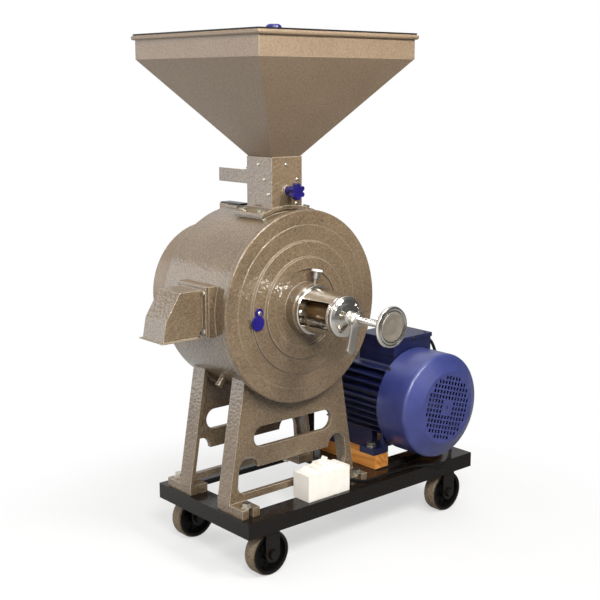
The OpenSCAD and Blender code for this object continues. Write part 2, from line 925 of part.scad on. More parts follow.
module stone(y0) {
    turned([
        [eye_d / 2, y0], [stone_d / 2 - 2, y0], [stone_d / 2, y0 + 2], [stone_d / 2, y0 + stone_t - 2],
        [stone_d / 2 - 2, y0 + stone_t], [eye_d / 2, y0 + stone_t]
    ]);
}

module fixed_stone() {
    color("#4a4642") place() stone(fixed_y0);
}

module runner_stone() {
    color("#4a4642") place() stone(runner_y0);
}

// The runner's iron holder, with a hub on the shaft
module runner_holder() {
    hub = shaft_r + holder_wall;
    color("#6d675f") place() turned([
        [shaft_r + seat, holder_y0], [stone_d / 2 - holder_in, holder_y0],
        [stone_d / 2 - holder_in, runner_y0],
        [hub, runner_y0], [hub, runner_y0 + holder_hub], [shaft_r + seat, runner_y0 + holder_hub]
    ]);
}

module main_shaft() {
    color("#8a8378") place() turned([
        [0, thrust_face + 41], [journal_r, thrust_face + 41], [journal_r, sleeve_end + 2],
        [shaft_r, sleeve_end + 2], [shaft_r, pulley_y0 - 8], [pulley_bore, pulley_y0 - 8],
        [pulley_bore, pulley_y0 + pulley_w + 8], [0, pulley_y0 + pulley_w + 8]
    ]);
}

// The rear roller bearing and the front bush, both as plain rings
module shaft_bearings() {
    color("#a09a90") place() {
        turned([
            [shaft_r + run, bearing_y0], [bearing_r, bearing_y0],
            [bearing_r, bearing_y0 + bearing_w], [shaft_r + run, bearing_y0 + bearing_w]
        ]);
        turned([
            [sleeve_r + run, -hub_l], [bush_r - seat, -hub_l],
            [bush_r - seat, sleeve_end], [sleeve_r + run, sleeve_end]
        ]);
    }
}

// Belt drive

// Profile of a pulley with two V grooves
module pulley(r, bore, hub, web_half) {
    deep = belt_h + 3;
    half = pulley_w / 2;
    side = belt_w / 2 + belt_gap;
    slope = belt_taper * deep / belt_h;
    a = -belt_pitch / 2;
    b = belt_pitch / 2;
    rotate([-90, 0, 0]) rotate_extrude() polygon([
        [bore, -half - 4], [hub, -half - 4], [hub, -web_half], [r - deep - 9, -web_half],
        [r - deep - 9, -half], [r, -half],
        [r, a - side], [r - deep, a - side + slope], [r - deep, a + side - slope], [r, a + side],
        [r, b - side], [r - deep, b - side + slope], [r - deep, b + side - slope], [r, b + side],
        [r, half], [r - deep - 9, half], [r - deep - 9, web_half],
        [hub, web_half], [hub, half + 4], [bore, half + 4]
    ]);
}

module mill_pulley() {
    color("#55514c") place() translate([0, pulley_mid, 0]) difference() {
        pulley(mill_pulley_d / 2, pulley_bore + seat, pulley_bore + 15, 6);
        for (a = [0 : 90 : 270]) rotate([0, a, 0]) bar_y(14, -7, 7, mill_pulley_d * 0.3, 0);
    }
}

module motor_pulley() {
    color("#55514c") place() translate([motor_x, pulley_mid, motor_z])
        pulley(motor_pulley_d / 2, motor_shaft_r + seat, motor_pulley_d / 2 - belt_h - 13, pulley_w / 2 - 4);
}

// Stations along a belt, as [pulley's X, belt's radius, angle], the pulleys' centres along X
function belt_stations(r0, r1, d) =
    let (lean = asin((r0 - r1) / d), big = 90 - lean)
    concat(
        [for (k = [0 : belt_steps]) [0, r0, big + (360 - 2 * big) * k / belt_steps]],
        [for (k = [0 : belt_steps]) [d, r1, -big + 2 * big * k / belt_steps]]
    );

// A closed V belt: its section is carried round the stations
module belt(r0, r1) {
    stations = belt_stations(r0, r1, belt_centres);
    half = belt_w / 2;
    section = [[0, half], [-belt_h, half - belt_taper], [-belt_h, -half + belt_taper], [0, -half]];
    count = len(stations);
    points = [
        for (p = stations) for (c = section)
            [p[0] + (p[1] + c[0]) * cos(p[2]), c[1], (p[1] + c[0]) * sin(p[2])]
    ];
    skin = [
        for (i = [0 : count - 1]) for (k = [0 : 3])
            let (j = (i + 1) % count, n = (k + 1) % 4)
            each [
                [i * 4 + k, j * 4 + n, j * 4 + k],
                [i * 4 + k, i * 4 + n, j * 4 + n]
            ]
    ];
    polyhedron(points, skin);
}

module drive_belts() {
    color("#1f1e1d") place() for (s = [-1, 1])
        translate([0, pulley_mid + s * belt_pitch / 2, 0]) rotate([0, -belt_tilt, 0])
            belt(mill_pulley_d / 2 - belt_drop, motor_pulley_d / 2 - belt_drop);
}

// The guard: a sheet box round both pulleys, with a lug for the top stay
module belt_guard() {
    lug_y0 = guard_y0 + lug_in;
    color("#8f8370") place() {
        rotate([0, -belt_tilt, 0]) difference() {
            plate_y(guard_y0, guard_y1) two_circles(guard_r, guard_small_r, belt_centres);
            plate_y(guard_y0 + guard_t, guard_y1 - guard_t)
                two_circles(guard_r - guard_t, guard_small_r - guard_t, belt_centres);
            bar_y(shaft_r + 6, guard_y0 - 1, guard_y0 + guard_t + 1);
            bar_y(motor_shaft_r + 16, guard_y0 - 1, guard_y0 + guard_t + 1, belt_centres, 0);
        }
        box([-lug_half, lug_y0, guard_r - 0.4], [lug_half, lug_y0 + lug_l, drum_r + lug_h]);
    }
}

// A strap from the drum's lug to the guard's lug, and a flat bar up from the rear rail
module guard_stays() {
    top = drum_r + lug_h;
    bar_x = foot_w / 2 + stay_clear + stay_half;
    color("#161514") place() {
        box([-strap_half, drum_y1 - strap_lap, top], [strap_half, guard_y0 + strap_lap, top + strap_t]);
        difference() {
            union() {
                box(
                    [bar_x - stay_half, guard_y0 - stay_t, base_top],
                    [bar_x + stay_half, guard_y0, motor_z + stay_rise]
                );
                box(
                    [bar_x - stay_half, guard_y0 - 1, base_top],
                    [bar_x + stay_half, guard_y0 + stay_foot, base_top + stay_t]
                );
            }
            translate([bar_x - stay_hole_x, 0, base_top + stay_hole_h])
                bar_y(stay_hole_r, guard_y0 - stay_t - 1, guard_y0 + 1);
        }
    }
}

// Hopper and feed

// A square ring wall about the neck's centre
module square_wall(half, wall, z0, z1) {
    translate([0, neck_y, 0]) difference() {
        box([-half, -half, z0], [half, half, z1]);
        box([-half + wall, -half + wall, z0 - 1], [half - wall, half - wall, z1 + 1]);
    }
}

// The sloping funnel as a square frustum, cut from two prisms so that its faces are flat
module funnel(low_half, high_half, z0, z1) {
    side = [[-low_half, z0], [low_half, z0], [high_half, z1], [-high_half, z1]];
    translate([0, neck_y, 0]) intersection() {
        plate_y(-high_half - 1, high_half + 1) polygon(side);
        plate_x(-high_half - 1, high_half + 1) polygon(side);
    }
}

// Band, funnel, collar that drops into the neck, and a rolled wire edge
module hopper() {
    half = hopper_w / 2;
    edge = half + rim_r - sheet_t;
    color("#8f8370") place() {
        square_wall(half, sheet_t, band_z0, band_z1);
        difference() {
            funnel(collar_half, half, neck_top, band_z0);
            funnel(collar_half - sheet_t, half - sheet_t, neck_top - eps, band_z0 + eps);
        }
        square_wall(collar_half, sheet_t, neck_top - collar_l, neck_top);
        translate([0, neck_y, rim_z]) for (a = [0 : 90 : 270]) rotate([0, 0, a]) {
            bar_y(rim_r, -edge, edge, edge, 0);
            translate([edge, edge, 0]) sphere(rim_r);
        }
    }
}

// A flat sheet lid with a fold inside the rolled edge
module hopper_lid() {
    fold = hopper_w / 2 - sheet_t - 3;
    color("#857a68") place() {
        translate([0, neck_y, lid_z]) box([-lid_half, -lid_half, 0], [lid_half, lid_half, lid_t]);
        square_wall(fold, 1.5, lid_z - 12, lid_z + 1);
    }
}

// A moulded knob at the lid's centre
module lid_knob() {
    color("#1e1078") place() translate([0, neck_y, lid_z + lid_t]) rotate_extrude() polygon([
        [0, 0], [8, 0], [7, 5], [lid_knob_r - 2, 8], [lid_knob_r, 11], [lid_knob_r - 1, 15],
        [lid_knob_r - 5, lid_knob_h], [0, lid_knob_h]
    ]);
}

// Square neck on a curved saddle, with the spindle's boss in front
module feed_neck() {
    hole = neck_in - 3;
    color("#8f8370") place() difference() {
        union() {
            difference() {
                square_wall(neck_half, sheet_t, drum_r, neck_top);
                bar_y(saddle_r - 2, 0, drum_y1);
            }
            intersection() {
                difference() {
                    bar_y(saddle_r, neck_y - saddle_deep, neck_y + saddle_deep);
                    bar_y(
                        drum_r + neck_seat + slip / 2, neck_y - saddle_deep - 1, neck_y + saddle_deep + 1
                    );
                }
                box(
                    [-saddle_half, neck_y - saddle_deep, 0],
                    [saddle_half, neck_y + saddle_deep, saddle_r + 1]
                );
            }
            bar_y(star_hub_r + 2, boss_face, neck_y - neck_half + 1, 0, flap_z);
        }
        translate([0, neck_y, 0]) box([-hole, -hole, drum_r - 5], [hole, hole, saddle_r + 5]);
        bar_y(flap_spindle_r + run, neck_y - neck_half - 8, neck_y + neck_half + 1, 0, flap_z);
        box(
            [-gate_half - gate_slot, neck_y, gate_z - gate_slot],
            [gate_half + gate_slot, neck_y + neck_half + 1, gate_z + gate_t + gate_slot]
        );
        saddle_bolt_places() bar_z(4 + seat, drum_r - 5, saddle_r + 5);
    }
}

// The flap that meters the grain: a plate on a spindle
module feed_flap() {
    color("#a9a397") place() {
        box(
            [-flap_half, neck_y - flap_half, flap_z - flap_t / 2],
            [flap_half, neck_y + flap_half, flap_z + flap_t / 2]
        );
        bar_y(flap_spindle_r, star_y - 2, neck_y + neck_half + 4, 0, flap_z);
    }
}

// Star knob with round lobes and a short hub
module star_knob() {
    color("#1e1078") place() difference() {
        union() {
            plate_y(star_y - star_t / 2, star_y + star_t / 2) translate([0, flap_z]) {
                circle(star_r - 0.5);
                for (k = [0 : star_lobes - 1]) rotate(60 * k + 30) {
                    translate([star_r, 0]) circle(star_lobe_r);
                    translate([0, -star_lobe_r * 0.7]) square([star_r, star_lobe_r * 1.4]);
                }
            }
            bar_y(star_hub_r, star_y + star_t / 2 - 1, boss_face - rest_gap, 0, flap_z);
        }
        bar_y(flap_spindle_r + seat, star_y - 2.5, boss_face + 1, 0, flap_z);
    }
}

// The open tray that guides the shut-off slide
module slide_tray() {
    half = neck_half;
    wall = sheet_t;
    y1 = tray_y0 + tray_l;
    ledge = 5;
    color("#8f8370") place() {
        box([-half, tray_y0, tray_z0], [half, y1, tray_z0 + wall]);
        box([-half, y1 - wall, tray_z0], [half, y1, tray_z0 + 12]);
        for (s = [-1, 1]) {
            x0 = s * half;
            x1 = s * (half - wall);
            x2 = s * (half - wall - ledge);
            box([min(x0, x1), tray_y0, tray_z0], [max(x0, x1), y1, tray_z1]);
            box([min(x0, x2), tray_y0, gate_z - gate_slot - 2.5], [max(x0, x2), y1, gate_z - rest_gap]);
        }
    }
}

// The shut-off slide, with an upturned pull at its tail
module slide_gate() {
    y0 = neck_y - neck_in + gate_slot;
    y1 = tray_y0 + gate_tail;
    color("#a9a397") place() {
        box([-gate_half, y0, gate_z], [gate_half, y1, gate_z + gate_t]);
        box([-pull_half, y1 - gate_t, gate_z], [pull_half, y1, gate_z + pull_h]);
    }
}

// Outlet chute

// Side outline of the chute, drawn in by the sheet's thickness
module chute_outline(in) {
    x0 = chute_x0 + 2 * in;
    x1 = chute_x0 - chute_l;
    polygon([
        [x0, chute_top - in], [chute_x0 - chute_l * 0.56 + in * 0.3, chute_top - in],
        [x1 + 7 + in, 0], [x1 + in, -chute_low - 2 * in],
        [chute_x0 - 11 - in, -chute_low - 2 * in], [x0 - (in > 0 ? 3 * in : 0), -chute_low + 18 - 2 * in]
    ]);
}

module outlet_chute() {
    half = chute_w / 2;
    color("#8f8370") place() difference() {
        union() {
            plate_y(chute_y - half, chute_y + half) chute_outline(0);
            box([chute_x0, port_y0 + 4, port_z0 + 2], [port_face, port_y1 - 4, port_z1 - 1]);
            box(
                [chute_x0 - chute_l - chute_lip, chute_y - half - chute_lip, -chute_low - 2],
                [chute_x0 - 6, chute_y + half + chute_lip, -chute_low]
            );
        }
        plate_y(chute_y - half + chute_t, chute_y + half - chute_t) chute_outline(chute_t);
        box(
            [chute_x0 - 1, chute_y - half + port_in, port_z0 + 6],
            [port_face + 1, chute_y + half - port_in, chute_top - chute_t]
        );
        chute_screw_places() bar_y(screw_r + seat, -1, chute_flange_t + 1);
    }
}

// Screw places on the chute's flange, each with +Y pointing into the drum's port
module chute_screw_places() {
    for (y = [port_y0 + 9.5, port_y1 - 9.5]) for (z = [port_z0 + 12, port_z1 - 12])
        translate([chute_x0, y, z]) rotate([0, 0, -90]) children();
}

// A screw with a low round head, along +Y
module pan_screw(l, head_r = screw_head_r) {
    bar_y(screw_r, -0.5, l);
    turned([
        [0, -screw_head_h], [head_r * 0.6, -screw_head_h], [head_r, -screw_head_h * 0.4], [head_r, 0], [0, 0]
    ]);
}

tag_x = -cover_r * 0.61;
tag_z = 5;
tag_t = 3;
tag_r = 9;
tag_drop = 19.5;
tag_drop_r = 14.5;
tag_lean = 10;

module small_screws() {
    color("#cfc9b8") place() {
        chute_screw_places() pan_screw(chute_flange_t - 0.2);
        for (s = [-1, 1]) translate([s * flange_screw_x, barrel_y0, 0])
            pan_screw(flange_t + 8, flange_head_r);
        translate([tag_x, -cover_step - tag_t - 2 * rest_gap, tag_z]) pan_screw(tag_t + 8);
    }
}

// Stone adjuster

// Flanged barrel with a side window to the left and to the right
module adjuster_barrel() {
    color("#d8d6d0") place() difference() {
        turned([
            [barrel_bore, -hub_l], [flange_r, -hub_l],
            [flange_r, barrel_y0 + 1.5], [flange_r - 1.5, barrel_y0],
            [barrel_r0, barrel_y0], [barrel_r1, barrel_y1], [barrel_bore, barrel_y1]
        ]);
        box([-hub_d, barrel_y1 + window_end, window_z0], [hub_d, barrel_y0, window_z1]);
        for (s = [-1, 1]) bar_y(screw_r + seat, barrel_y0 - 1, -hub_l + 1, s * flange_screw_x, 0);
    }
}

module cap_ring() {
    color("#1e1078") place() turned([
        [barrel_bore, cap_y0], [barrel_r1 - 1, cap_y0], [barrel_r1 - 1, barrel_y1], [barrel_bore, barrel_y1]
    ]);
}

// Domed cap that carries the adjusting screw, with two oval slots
module dome_cap() {
    dome_y = cap_y0 - cap_rim_t;
    inner = barrel_bore - slip;
    color("#d8d6d0") place() difference() {
        turned([
            [spin_r + run, cap_y0], [inner - 5, cap_y0], [inner - 5, cap_y0 + ring_t + cap_spigot],
            [inner, cap_y0 + ring_t + cap_spigot], [inner, cap_y0], [cap_r, cap_y0],
            [cap_r, dome_y + 2], [cap_r - 1.2, dome_y],
            [cap_r * 0.85, dome_y - cap_dome_l * 0.3], [cap_r * 0.65, dome_y - cap_dome_l * 0.62],
            [boss_r + 3, dome_y - cap_dome_l * 0.9], [boss_r, dome_y - cap_dome_l],
            [boss_r, boss_end + 1], [boss_r - 1, boss_end], [spin_r + run, boss_end]
        ]);
        for (a = [-40, 140]) rotate([0, a + 90, 0])
            plate_y(boss_end, cap_y0 + 1) translate([0, (boss_r + cap_r) / 2 + 1]) slot_outline(4.5, 0, 2.8);
    }
}

// Hexagon lock nut with a collar and a flat lever
module lock_nut() {
    lever_t = 6;
    lever_w = 17;
    color("#cfcdc8") place() difference() {
        union() {
            hex_y(nut_af / 2 / cos(30), nut_y0, nut_y0 + nut_t);
            bar_y(11.5, nut_y0 - collar_t + 1, nut_y0 + 1);
            rotate([0, 13, 0]) {
                box(
                    [-lever_w / 2, nut_y0 + 3, -lever_l + lever_w / 2],
                    [lever_w / 2, nut_y0 + 3 + lever_t, -10]
                );
                bar_y(lever_w / 2, nut_y0 + 3, nut_y0 + 3 + lever_t, 0, -lever_l + lever_w / 2);
            }
        }
        bar_y(spin_r + run, nut_y0 - collar_t, nut_y0 + nut_t + 1);
    }
}

module adjusting_screw() {
    tip = thrust_face - rest_gap;
    color("#cfcdc8") place() turned([
        [0, wheel_back - wheel_t + 4], [spin_r - 2, wheel_back - wheel_t + 4], [spin_r - 2, wheel_back],
        [spin_r, wheel_back], [spin_r, tip - 2], [spin_r - 2, tip], [0, tip]
    ]);
}

// Handwheel: a dished disc with a rolled rim, turned from one profile
module handwheel() {
    r = handwheel_d / 2;
    front = wheel_back - wheel_t;
    color("#cfcdc8") place() turned([
        [0, front + 3], [r * 0.35, front + 3.4], [r * 0.7, front + 1.2], [r * 0.76, front + 0.4],
        [r * 0.82, front + 1.6], [r - 4, front], [r - 1.2, front + 1], [r, front + 4],
        [r - 0.8, front + 7], [r - 3.5, wheel_back], [r - 7, wheel_back - 2.5], [r * 0.4, wheel_back - 1.5],
        [spin_r + 4, wheel_back], [spin_r + 4, wheel_back + 3], [spin_r + seat, wheel_back + 3],
        [spin_r + seat, wheel_back - eps], [spin_r - 2 + seat, wheel_back - eps],
        [spin_r - 2 + seat, front + 4 - eps], [0, front + 4 - eps]
    ]);
}

// The sleeve that the screw pushes: it slides in the bush and carries the shaft's front end
module thrust_sleeve() {
    color("#6b4a26") place() difference() {
        turned([
            [0, thrust_face], [sleeve_r - 2, thrust_face], [sleeve_r, thrust_face + 2],
            [sleeve_r, sleeve_end], [0, sleeve_end]
        ]);
        bar_y(journal_r + run, thrust_face + 40, sleeve_end + 1);
    }
}

grease_a = 12;
grease_in = 6.5;
grease_stem_h = 9;
grease_h = 22.5;
grease_cap_r = 11;
grease_stem_r = 3;
grease_body_r = 7.5;

// The grease cup leans a little to the right of the hub's top
module grease_place() {
    translate([0, -hub_l + grease_in, 0]) rotate([0, grease_a, 0]) children();
}

module grease_cup() {
    color("#8a7f70") place() grease_place() {
        bar_z(grease_stem_r, hub_r - 8, hub_r + grease_stem_h + 1);
        bar_z(grease_body_r, hub_r + grease_stem_h, hub_r + grease_h);
    }
}

module grease_cap() {
    color("#e4e1da") place() grease_place() translate([0, 0, hub_r + grease_h + rest_gap])
        rotate_extrude() polygon([
            [0, 0], [grease_cap_r - 0.5, 0], [grease_cap_r, 1], [grease_cap_r, 3],
            [grease_cap_r - 1.5, 4.4], [0, 5]
        ]);
}

// Pear-shaped swinging cover of the oil hole
module tag_cover() {
    y1 = -cover_step - rest_gap;
    color("#1e1078") place() difference() {
        plate_y(y1 - tag_t, y1) translate([tag_x, tag_z]) {
            circle(tag_r);
            rotate(-tag_lean) translate([0, -tag_drop]) circle(tag_drop_r);
        }
        bar_y(screw_r + run, y1 - tag_t - 1, y1 + 1, tag_x, tag_z);
    }
}

// Motor

module motor_place() {
    translate([motor_x, 0, motor_z]) children();
}

// Cast frame with level fins, four feet on ribs, and a seat for the terminal box
module motor_frame() {
    core = frame_d / 2;
    fins = floor(core * 0.78 / fin_pitch);
    foot_z = -motor_h;
    term_half = term_w / 2 - term_edge;
    color("#2f3a78") place() difference() {
        motor_place() union() {
            bar_y(core, frame_y0, frame_y1);
            intersection() {
                union() {
                    bar_y(fin_d / 2, frame_y0 + fan_lap + slip, frame_y1);
                    bar_y(fin_d / 2 - fan_wall - slip, frame_y0, frame_y1);
                }
                for (k = [-fins + 1 : fins]) box(
                    [-fin_d, frame_y0 + 3, k * fin_pitch - 1.6], [fin_d, frame_y1 - 3, k * fin_pitch + 1.6]
                );
            }
            box(
                [-term_half, term_y0 + term_edge, core * 0.6],
                [term_half, term_y0 + term_l - term_edge, term_z0]
            );
            for (s = [-1, 1]) for (y = [foot_y0, foot_y1]) {
                x0 = s * (foot_a / 2 - foot_in);
                x1 = s * (foot_a / 2 + foot_out);
                box([min(x0, x1), y - foot_l / 2, foot_z], [max(x0, x1), y + foot_l / 2, foot_z + foot_t]);
            }
            for (s = [-1, 1]) {
                x0 = s * (foot_a / 2 - leg_in);
                x1 = s * (foot_a / 2 - leg_in - leg_t);
                for (y = [
                    [foot_y0 - foot_l / 2, foot_y0 - pocket_l / 2],
                    [foot_y0 + pocket_l / 2, foot_y1 - pocket_l / 2],
                    [foot_y1 + pocket_l / 2, foot_y1 + foot_l / 2]
                ]) box([min(x0, x1), y[0], foot_z], [max(x0, x1), y[1], -core * 0.5]);
            }
        }
        motor_place() bar_y(rotor_r + air_gap, frame_y0 - 1, frame_y1 + 1);
        motor_place() for (y0 = [frame_y0 - 1, frame_y1 - 10]) bar_y(core - 12, y0, y0 + 11);
        motor_bolt_holes();
    }
}

// A bearing shield at each end of the frame, with its bearing's ring left as one piece
module shield(y0, dir) {
    core = frame_d / 2;
    y1 = y0 + dir * shield_t;
    hub_end = y0 + dir * 16;
    bore = motor_shaft_r + run;
    turned([
        [bore, y0 - dir * 9], [40, y0 - dir * 9], [core - 12 - slip, y0 - dir * 9], [core - 12 - slip, y0],
        [core - 2, y0], [core - 4, y1 - dir * 4], [core - 12, y1], [46, y1], [36, hub_end], [bore, hub_end]
    ]);
}

module motor_end_shields() {
    color("#2f3a78") place() motor_place() {
        shield(frame_y0, -1);
        shield(frame_y1, 1);
    }
}

// Pressed fan cover: a rim, a fold, a cone and a flat face with a grille of upright rectangular holes
module fan_cover() {
    r = fan_r;
    f = fan_face_r;
    w = fan_wall;
    fold = fan_fold;
    turn = 90 - fan_cone;
    fold_r = r - fold;
    fold_y = fan_y0 + (fold_r + fold * cos(turn) - f) * tan(fan_cone) + fold * sin(turn);
    grille_r = f - 10.5;
    cols = floor(grille_r / grille_dx);
    rows = floor(grille_r / grille_dz);
    color("#2f3a78") place() motor_place() {
        turned([
            [r, fan_y1 + fan_lap],
            for (a = [0 : turn / 8 : turn]) [fold_r + fold * cos(a), fold_y - fold * sin(a)],
            [f, fan_y0], [f - 4, fan_y0], [f - 4, fan_y0 + w], [f - w * tan(fan_cone / 2), fan_y0 + w],
            for (a = [turn : -turn / 8 : 0]) [fold_r + (fold - w) * cos(a), fold_y - (fold - w) * sin(a)],
            [r - w, fan_y1 + fan_lap]
        ]);
        plate_y(fan_y0, fan_y0 + w) rotate(-grille_turn) difference() {
            circle(f - 3);
            for (i = [-cols : cols]) for (k = [-rows : rows])
                if (norm([i * grille_dx, k * grille_dz]) < grille_r && max(abs(i), abs(k)) > 1)
                    translate([i * grille_dx, k * grille_dz]) square([grille_w, grille_h], center = true);
            square([grille_w * 0.6, grille_h * 0.85], center = true);
        }
    }
}

// Plastic fan with straight blades
module cooling_fan() {
    y0 = fan_y1 - fan_back - blade_l;
    y1 = fan_y1 - fan_back;
    color("#262422") place() motor_place() {
        difference() {
            union() {
                bar_y(fan_hub_r, y0, y1);
                bar_y(blade_r - 4, y1 - fan_disc_t, y1);
                for (a = [0 : 45 : 315]) rotate([0, a, 0])
                    box([fan_hub_r * 0.75, y0, -blade_t / 2], [blade_r, y1 - 1, blade_t / 2]);
            }
            bar_y(motor_shaft_r - 2 + seat, y0 - 1, y1 + 1);
        }
    }
}

// Motor shaft with the rotor's core
module motor_shaft() {
    s = motor_shaft_r;
    tail = fan_y1 - fan_back - blade_l - 2;
    color("#9a958c") place() motor_place() turned([
        [0, tail], [s - 2, tail], [s - 2, fan_y1 - fan_back + 1], [s, fan_y1 - fan_back + 1],
        [s, frame_y0 + 20], [rotor_r, frame_y0 + 20], [rotor_r, frame_y1 - 20], [s, frame_y1 - 20],
        [s, pulley_y0 + pulley_w + 5], [0, pulley_y0 + pulley_w + 5]
    ]);
}

module terminal_box() {
    half = term_w / 2;
    wall = 4;
    z0 = term_z0;
    z1 = z0 + term_h;
    y1 = term_y0 + term_l;
    color("#2f3a78") place() motor_place() difference() {
        box([-half, term_y0, z0], [half, y1, z1]);
        box([-half + wall, term_y0 + wall, z0 + wall], [half - wall, y1 - wall, z1 + 1]);
        translate([0, gland_y, gland_z]) rotate([0, 90, 0]) cylinder(r = gland_r - 2 + seat, h = half + 1);
    }
}

module terminal_lid() {
    half = term_w / 2 + 2;
    z0 = term_z0 + term_h;
    color("#2f3a78") place() motor_place() {
        box([-half, term_y0 - 2, z0], [half, term_y0 + term_l + 2, z0 + term_lid_t]);
        for (s = [-1, 1]) for (y = [term_y0 + 9, term_y0 + term_l - 9])
            bar_z(3.4, z0 + term_lid_t - 0.5, z0 + term_lid_t + 2, s * (half - 11), y);
    }
}

// Plastic gland where the cable leaves the terminal box
module cable_gland() {
    x0 = term_w / 2;
    color("#1c1b1a") place() motor_place() translate([x0, gland_y, gland_z]) rotate([0, 90, 0]) {
        translate([0, 0, -8]) cylinder(r = gland_r - 2, h = 9);
        cylinder(r = gland_r + 2, h = 7, $fn = 6);
        translate([0, 0, 6])
            cylinder(r1 = gland_r, r2 = cable_d / 2 + 1.5, h = gland_end[0] - motor_x - x0 - 6);
    }
}

// Two wood blocks along Y, under the left and the right feet
module wood_blocks() {
    color("#b8661f") place() difference() {
        for (s = [-1, 1]) {
            x0 = motor_x + s * (foot_a / 2 + foot_out);
            x1 = x0 - s * block_w;
            box(
                [min(x0, x1), foot_y0 - block_end, base_top],
                [max(x0, x1), foot_y1 + block_end, base_top + block_t]
            );
        }
        motor_bolt_holes();
    }
}

// Switch box

// White moulded box with a low crowned top
module switch_box() {
    x1 = switch_x0 + switch_l;
    y1 = switch_y0 + switch_w;
    crown = 6;
    color("#fbf6ec") place() difference() {
        union() {
            box([switch_x0, switch_y0, base_top], [x1, y1, switch_z1]);
            plate_y(switch_y0 + 3, y1 - 3) polygon([
                [switch_x0 + 8, switch_z1 - 1], [x1 - 8, switch_z1 - 1], [x1 - 26, switch_z1 + crown],
                [switch_x0 + 26, switch_z1 + crown]
            ]);
        }
        box(
            [switch_x0 + 28, switch_y0 + 8, switch_z1 - 20],
            [x1 - 28, y1 - 8, switch_z1 + crown + 1]
        );
    }
}

toggle_r = 8;

// The breaker seated in the box, with a slot for its toggle
module switch_block() {
    x0 = switch_x0 + 28 + slip;
    x1 = switch_x0 + switch_l - 28 - slip;
    y0 = switch_y0 + 8 + slip;
    y1 = switch_y0 + switch_w - 8 - slip;
    mid = switch_x0 + switch_l / 2;
    mid_y = switch_y0 + switch_w / 2;
    color("#f4efe6") place() difference() {
        union() {
            box([x0, y0, switch_z1 - 20], [x1, y1, switch_z1 + 9]);
            box([mid - 13, y0, switch_z1 + 8], [mid + 13, y1, switch_z1 + 13]);
        }
        bar_y(toggle_r + 0.5, mid_y - 8, mid_y + 8, mid, switch_z1 + 9);
        bar_y(2 + run, y0 - 1, y1 + 1, mid, switch_z1 + 9);
    }
}

// The toggle: a round drum on a pin, with a finger
module switch_toggle() {
    mid = switch_x0 + switch_l / 2;
    mid_y = switch_y0 + switch_w / 2;
    z = switch_z1 + 9;
    color("#2a2a2c") place() {
        bar_y(toggle_r, mid_y - 7.6, mid_y + 7.6, mid, z);
        bar_y(2, mid_y - 12, mid_y + 12, mid, z);
        translate([mid, 0, z]) rotate([0, 32, 0]) box([-2.5, mid_y - 6, 0], [2.5, mid_y + 6, 16]);
    }
}

module power_cable() {
    color("#242322") place() swept_tube(curve(cable_route, cable_steps), cable_d / 2, cable_sides);
}

front_rail();
rear_rail();
left_end_rail();
right_end_rail();
motor_subframe();
wheel_brackets();
axle_bolts();
wheel_front_left();
wheel_front_right();
wheel_rear_left();
wheel_rear_right();
front_stand();
rear_stand();
hex_bolts();
drum_casing();
front_cover();
fixed_stone();
runner_stone();
runner_holder();
main_shaft();
shaft_bearings();
mill_pulley();
drive_belts();
belt_guard();
guard_stays();
hopper();
hopper_lid();
lid_knob();
feed_neck();
feed_flap();
star_knob();
slide_tray();
slide_gate();
outlet_chute();
small_screws();
adjuster_barrel();
cap_ring();
dome_cap();
lock_nut();
adjusting_screw();
handwheel();
thrust_sleeve();
grease_cup();
grease_cap();
tag_cover();
motor_frame();
motor_end_shields();
fan_cover();
cooling_fan();
motor_shaft();
motor_pulley();
terminal_box();
terminal_lid();
cable_gland();
wood_blocks();
switch_box();
switch_block();
switch_toggle();
power_cable();
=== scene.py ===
# %% [markdown]
# # A stone flour mill, dressed for a studio picture
#
# The solids of the mill come from its CAD model and stay where they are. This lesson gives them the
# finishes that the real machine has, adds the small things that are easier to model here than in CAD,
# and lights the whole as a product picture. Every length is a real one, and the coordinates are the
# CAD model's own: metres, with +Z up, +X towards the motor and -Y towards the handwheel.

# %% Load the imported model
import json
import math
import bmesh
import bpy
from mathutils import Matrix, Vector


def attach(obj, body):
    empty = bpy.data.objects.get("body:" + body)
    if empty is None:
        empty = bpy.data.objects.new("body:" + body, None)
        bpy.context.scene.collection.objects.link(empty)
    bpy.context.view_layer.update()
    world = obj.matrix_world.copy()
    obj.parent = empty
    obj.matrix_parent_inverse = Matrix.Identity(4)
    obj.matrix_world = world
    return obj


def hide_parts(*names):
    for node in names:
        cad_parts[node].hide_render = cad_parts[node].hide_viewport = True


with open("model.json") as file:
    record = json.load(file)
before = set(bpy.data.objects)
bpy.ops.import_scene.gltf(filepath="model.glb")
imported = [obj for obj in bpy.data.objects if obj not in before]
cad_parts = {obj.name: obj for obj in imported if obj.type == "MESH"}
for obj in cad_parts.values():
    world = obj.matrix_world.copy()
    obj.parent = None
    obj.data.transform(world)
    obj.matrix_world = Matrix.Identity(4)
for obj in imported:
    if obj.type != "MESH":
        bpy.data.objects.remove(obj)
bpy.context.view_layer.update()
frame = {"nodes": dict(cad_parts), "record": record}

# %% [markdown]
# ## Where things are
#
# A mill is laid out from its shaft, so the lesson measures from there too: millimetres, from the middle
# of the front cover's rim. One function turns such a point into the model's frame.

# %% The mill's axis as the reference
AXIS = Vector((-0.0885, -0.037, 0.516))


def at(x, y, z):
    """A point in millimetres from the middle of the cover's rim, as a point of the model in metres."""
    return AXIS + Vector((x, y, z)) / 1000


print("mill axis at", tuple(round(c, 4) for c in AXIS))

# %% [markdown]
# ## The camera
#
# The photograph was taken from the left front, a little above the hub. The place, the direction and the
# lens were fitted to measured corners of the object, so the camera is given as three directions and a
# point, not as angles found by eye. The focal length was found in pixels of a picture 600 pixels wide.

